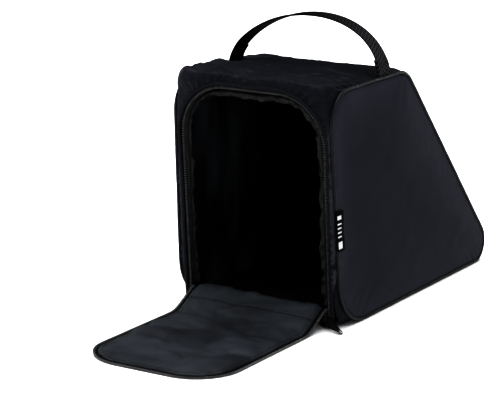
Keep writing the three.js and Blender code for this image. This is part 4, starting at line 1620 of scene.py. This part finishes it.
def make_handle():
    """The handle's webbing, with a second layer and a box of stitches at each end."""
    line = handle_line(STRAP_THICK / 2, HANDLE_FOOT)
    finish_piece(strap("handle_webbing", line, STRAP_THICK), WEBBING, None, "webbing",
                 "handle_strap", "handle_end_right", "handle_end_left")
    for side, name in SIDES:
        inner = handle_line(STRAP_THICK * 1.55, HANDLE_FOOT, 140)
        inner = inner[(inner[:, 0] * side > 0) & (inner[:, 1] < 17 * MM)]
        patch = strap("handle_patch_" + name, inner, STRAP_THICK * 0.8)
        finish_piece(patch, WEBBING, None, "webbing")
        lean_and_blend(stitches("handle_stitches_" + name, box_stitches(side, line), THREAD,
                                None, "webbing", 0.55 * MM))


# ------------------------------------------------------------ label
LABEL_LOW = 90 * MM
LABEL_HEIGHT = 45 * MM


LABEL_ROWS = 20
LABEL_MARKS = ((0.08, 0.26), (0.36, 0.4), (0.46, 0.5), (0.56, 0.6), (0.66, 0.7), (0.8, 0.9))


def make_label():
    """A woven tag caught in the front seam, lying over the piping onto the side."""
    middle = LABEL_LOW + LABEL_HEIGHT / 2
    front, face = front_points(0, middle, 0)[1], half_width(middle)
    path = bezier(((face - 1.6 * MM, front - 0.8 * MM), (face + 1.4 * MM, front - 0.8 * MM),
                   (face + 2.0 * MM, front + 4 * MM), (face + 1.0 * MM, front + 13 * MM)), 16)
    at = distances(path)
    rows, uv = [], []
    for z in np.linspace(LABEL_LOW, LABEL_LOW + LABEL_HEIGHT, LABEL_ROWS):
        slant = front_points(0, z, 0)[1] - front
        wave = 0.35 * MM * math.sin(z * 210) + 0.2 * MM * math.sin(z * 95 + 1)
        x = path[:, 0] + (half_width(z) - face) + wave * at / at[-1]
        rows.append(np.column_stack([x, path[:, 1] + slant, np.full(len(path), z)]))
        uv.append(np.column_stack([at, np.full(len(path), z)]))
    obj = face_towards(sheet_of_rows("woven_tag", rows, uv), (1, -0.3, 0))
    marks = label_marks(coordinates(obj).reshape(LABEL_ROWS, -1, 3)[:, len(path) // 2],
                        vertex_normals(obj).reshape(LABEL_ROWS, -1, 3)[:, len(path) // 2])
    thicken(obj, 0.7 * MM)
    finish_piece(obj, LABEL, "bag", "label", "side_label")
    stitches("woven_tag_marks", marks, MARKS, "bag", "label")


def label_marks(column, normals):
    """Places for plain bars down the tag's middle, which say nothing."""
    places = []
    for low, high in LABEL_MARKS:
        k = round((low + high) / 2 * (LABEL_ROWS - 1))
        up = unit(column[k + 1] - column[k - 1])
        tall = (high - low) * LABEL_HEIGHT / STITCH
        axes = np.array([up * tall, np.cross(normals[k], up) * 13.0, normals[k]])
        places.append((column[k] + normals[k] * 0.2 * MM, axes))
    return places


# ------------------------------------------------------------ scene assembly
front_cloth = make_front_top()
make_back()
make_base()
for piece_side, piece_name in SIDES:
    make_side(piece_side, piece_name)
    make_piping(piece_side, piece_name)
    make_binding(piece_side, piece_name)
make_linings()
make_bag_teeth()
make_bag_tape()
make_welt()
make_baffle()
make_flap()
make_flap_zip()
stitch_front(front_cloth)
stitch_flap()
make_stops()
make_slider()
make_bail()
make_ribbon()
make_handle()
make_label()

# ------------------------------------------------------------ floor, light and camera
FOCAL_PX = 2071.5           # the lens's length over the size of one of the picture's pixels
PICTURE_WIDTH = 496
SENSOR = 36                 # mm
CLIP = (0.1, 50)
CAMERA = Vector((1.1628, -2.0512, 0.6745))
TARGET = Vector((-0.13447, 0, 0.07489))
FLOOR_HALF = 6
LIGHT_TARGET = Vector((0, 0, 0.1))
SUN = dict(energy=5.2, angle=math.radians(70))
SOFT_BOXES = (              # name, place, size and power
    ("front_left", (-1.7, -2.6, 1.0), 0.8, 32),
    ("front_right", (2.1, -1.9, 0.9), 0.5, 22),
    ("back_right", (2.0, 2.4, 0.8), 1.2, 2),
    ("back", (0.5, 2.8, 1.1), 0.9, 14),
    ("left", (-2.6, 0.6, 0.9), 0.9, 16),
)


def make_stage():
    """A white floor under a studio sky, a wide sun and soft boxes."""
    low, high = -FLOOR_HALF, FLOOR_HALF
    floor = mesh_object("floor", [(low, low, 0), (high, low, 0), (high, high, 0), (low, high, 0)],
                        [(0, 1, 2, 3)])
    paper = bpy.data.materials.new("floor")
    n = Nodes(paper)
    n.shade({
        "Base Color": n.mix(n.noise(n.place(), 3, 3), (0.86, 0.86, 0.86), (0.9, 0.9, 0.9)),
        "Roughness": 0.7,
    })
    floor.data.materials.append(paper)
    make_sky()
    add_light("overhead", "SUN", (0, 0, 3), **SUN)
    for name, place, size, power in SOFT_BOXES:
        add_light(name, "AREA", place, energy=power, size=size)


def make_sky():
    """A studio that is bright overhead and dark towards the walls."""
    world = bpy.data.worlds.new("studio")
    bpy.context.scene.world = world
    n = Nodes(world, "Background")
    ways = n.add("SeparateXYZ", Vector=n.add("TexCoord").outputs["Generated"])
    level = n.add("MapRange", **{"Value": ways.outputs["Z"], "From Min": 0.3,
                                 "To Min": 0.03, "To Max": 0.8})
    n.shade({"Strength": level, "Color": (0.97, 0.98, 1, 1)})


def add_light(name, kind, place, **settings):
    """A light that looks at the bag."""
    light = bpy.data.lights.new(name, kind)
    for key, value in settings.items():
        setattr(light, key, value)
    obj = bpy.data.objects.new(name, light)
    obj.location = place
    obj.rotation_euler = (LIGHT_TARGET - obj.location).to_track_quat("-Z", "Y").to_euler()
    bpy.context.scene.collection.objects.link(obj)


def make_camera():
    """The camera that was fitted to the bag's corners."""
    data = bpy.data.cameras.new("camera")
    data.sensor_width = SENSOR
    data.lens = FOCAL_PX / PICTURE_WIDTH * SENSOR
    data.clip_start, data.clip_end = CLIP
    camera = bpy.data.objects.new("camera", data)
    camera.location = CAMERA
    camera.rotation_euler = (TARGET - CAMERA).to_track_quat("-Z", "Y").to_euler()
    bpy.context.scene.collection.objects.link(camera)
    bpy.context.scene.camera = camera


make_stage()
make_camera()
bpy.context.scene.view_settings.view_transform = "Standard"
bpy.context.scene.view_settings.gamma = 0.6
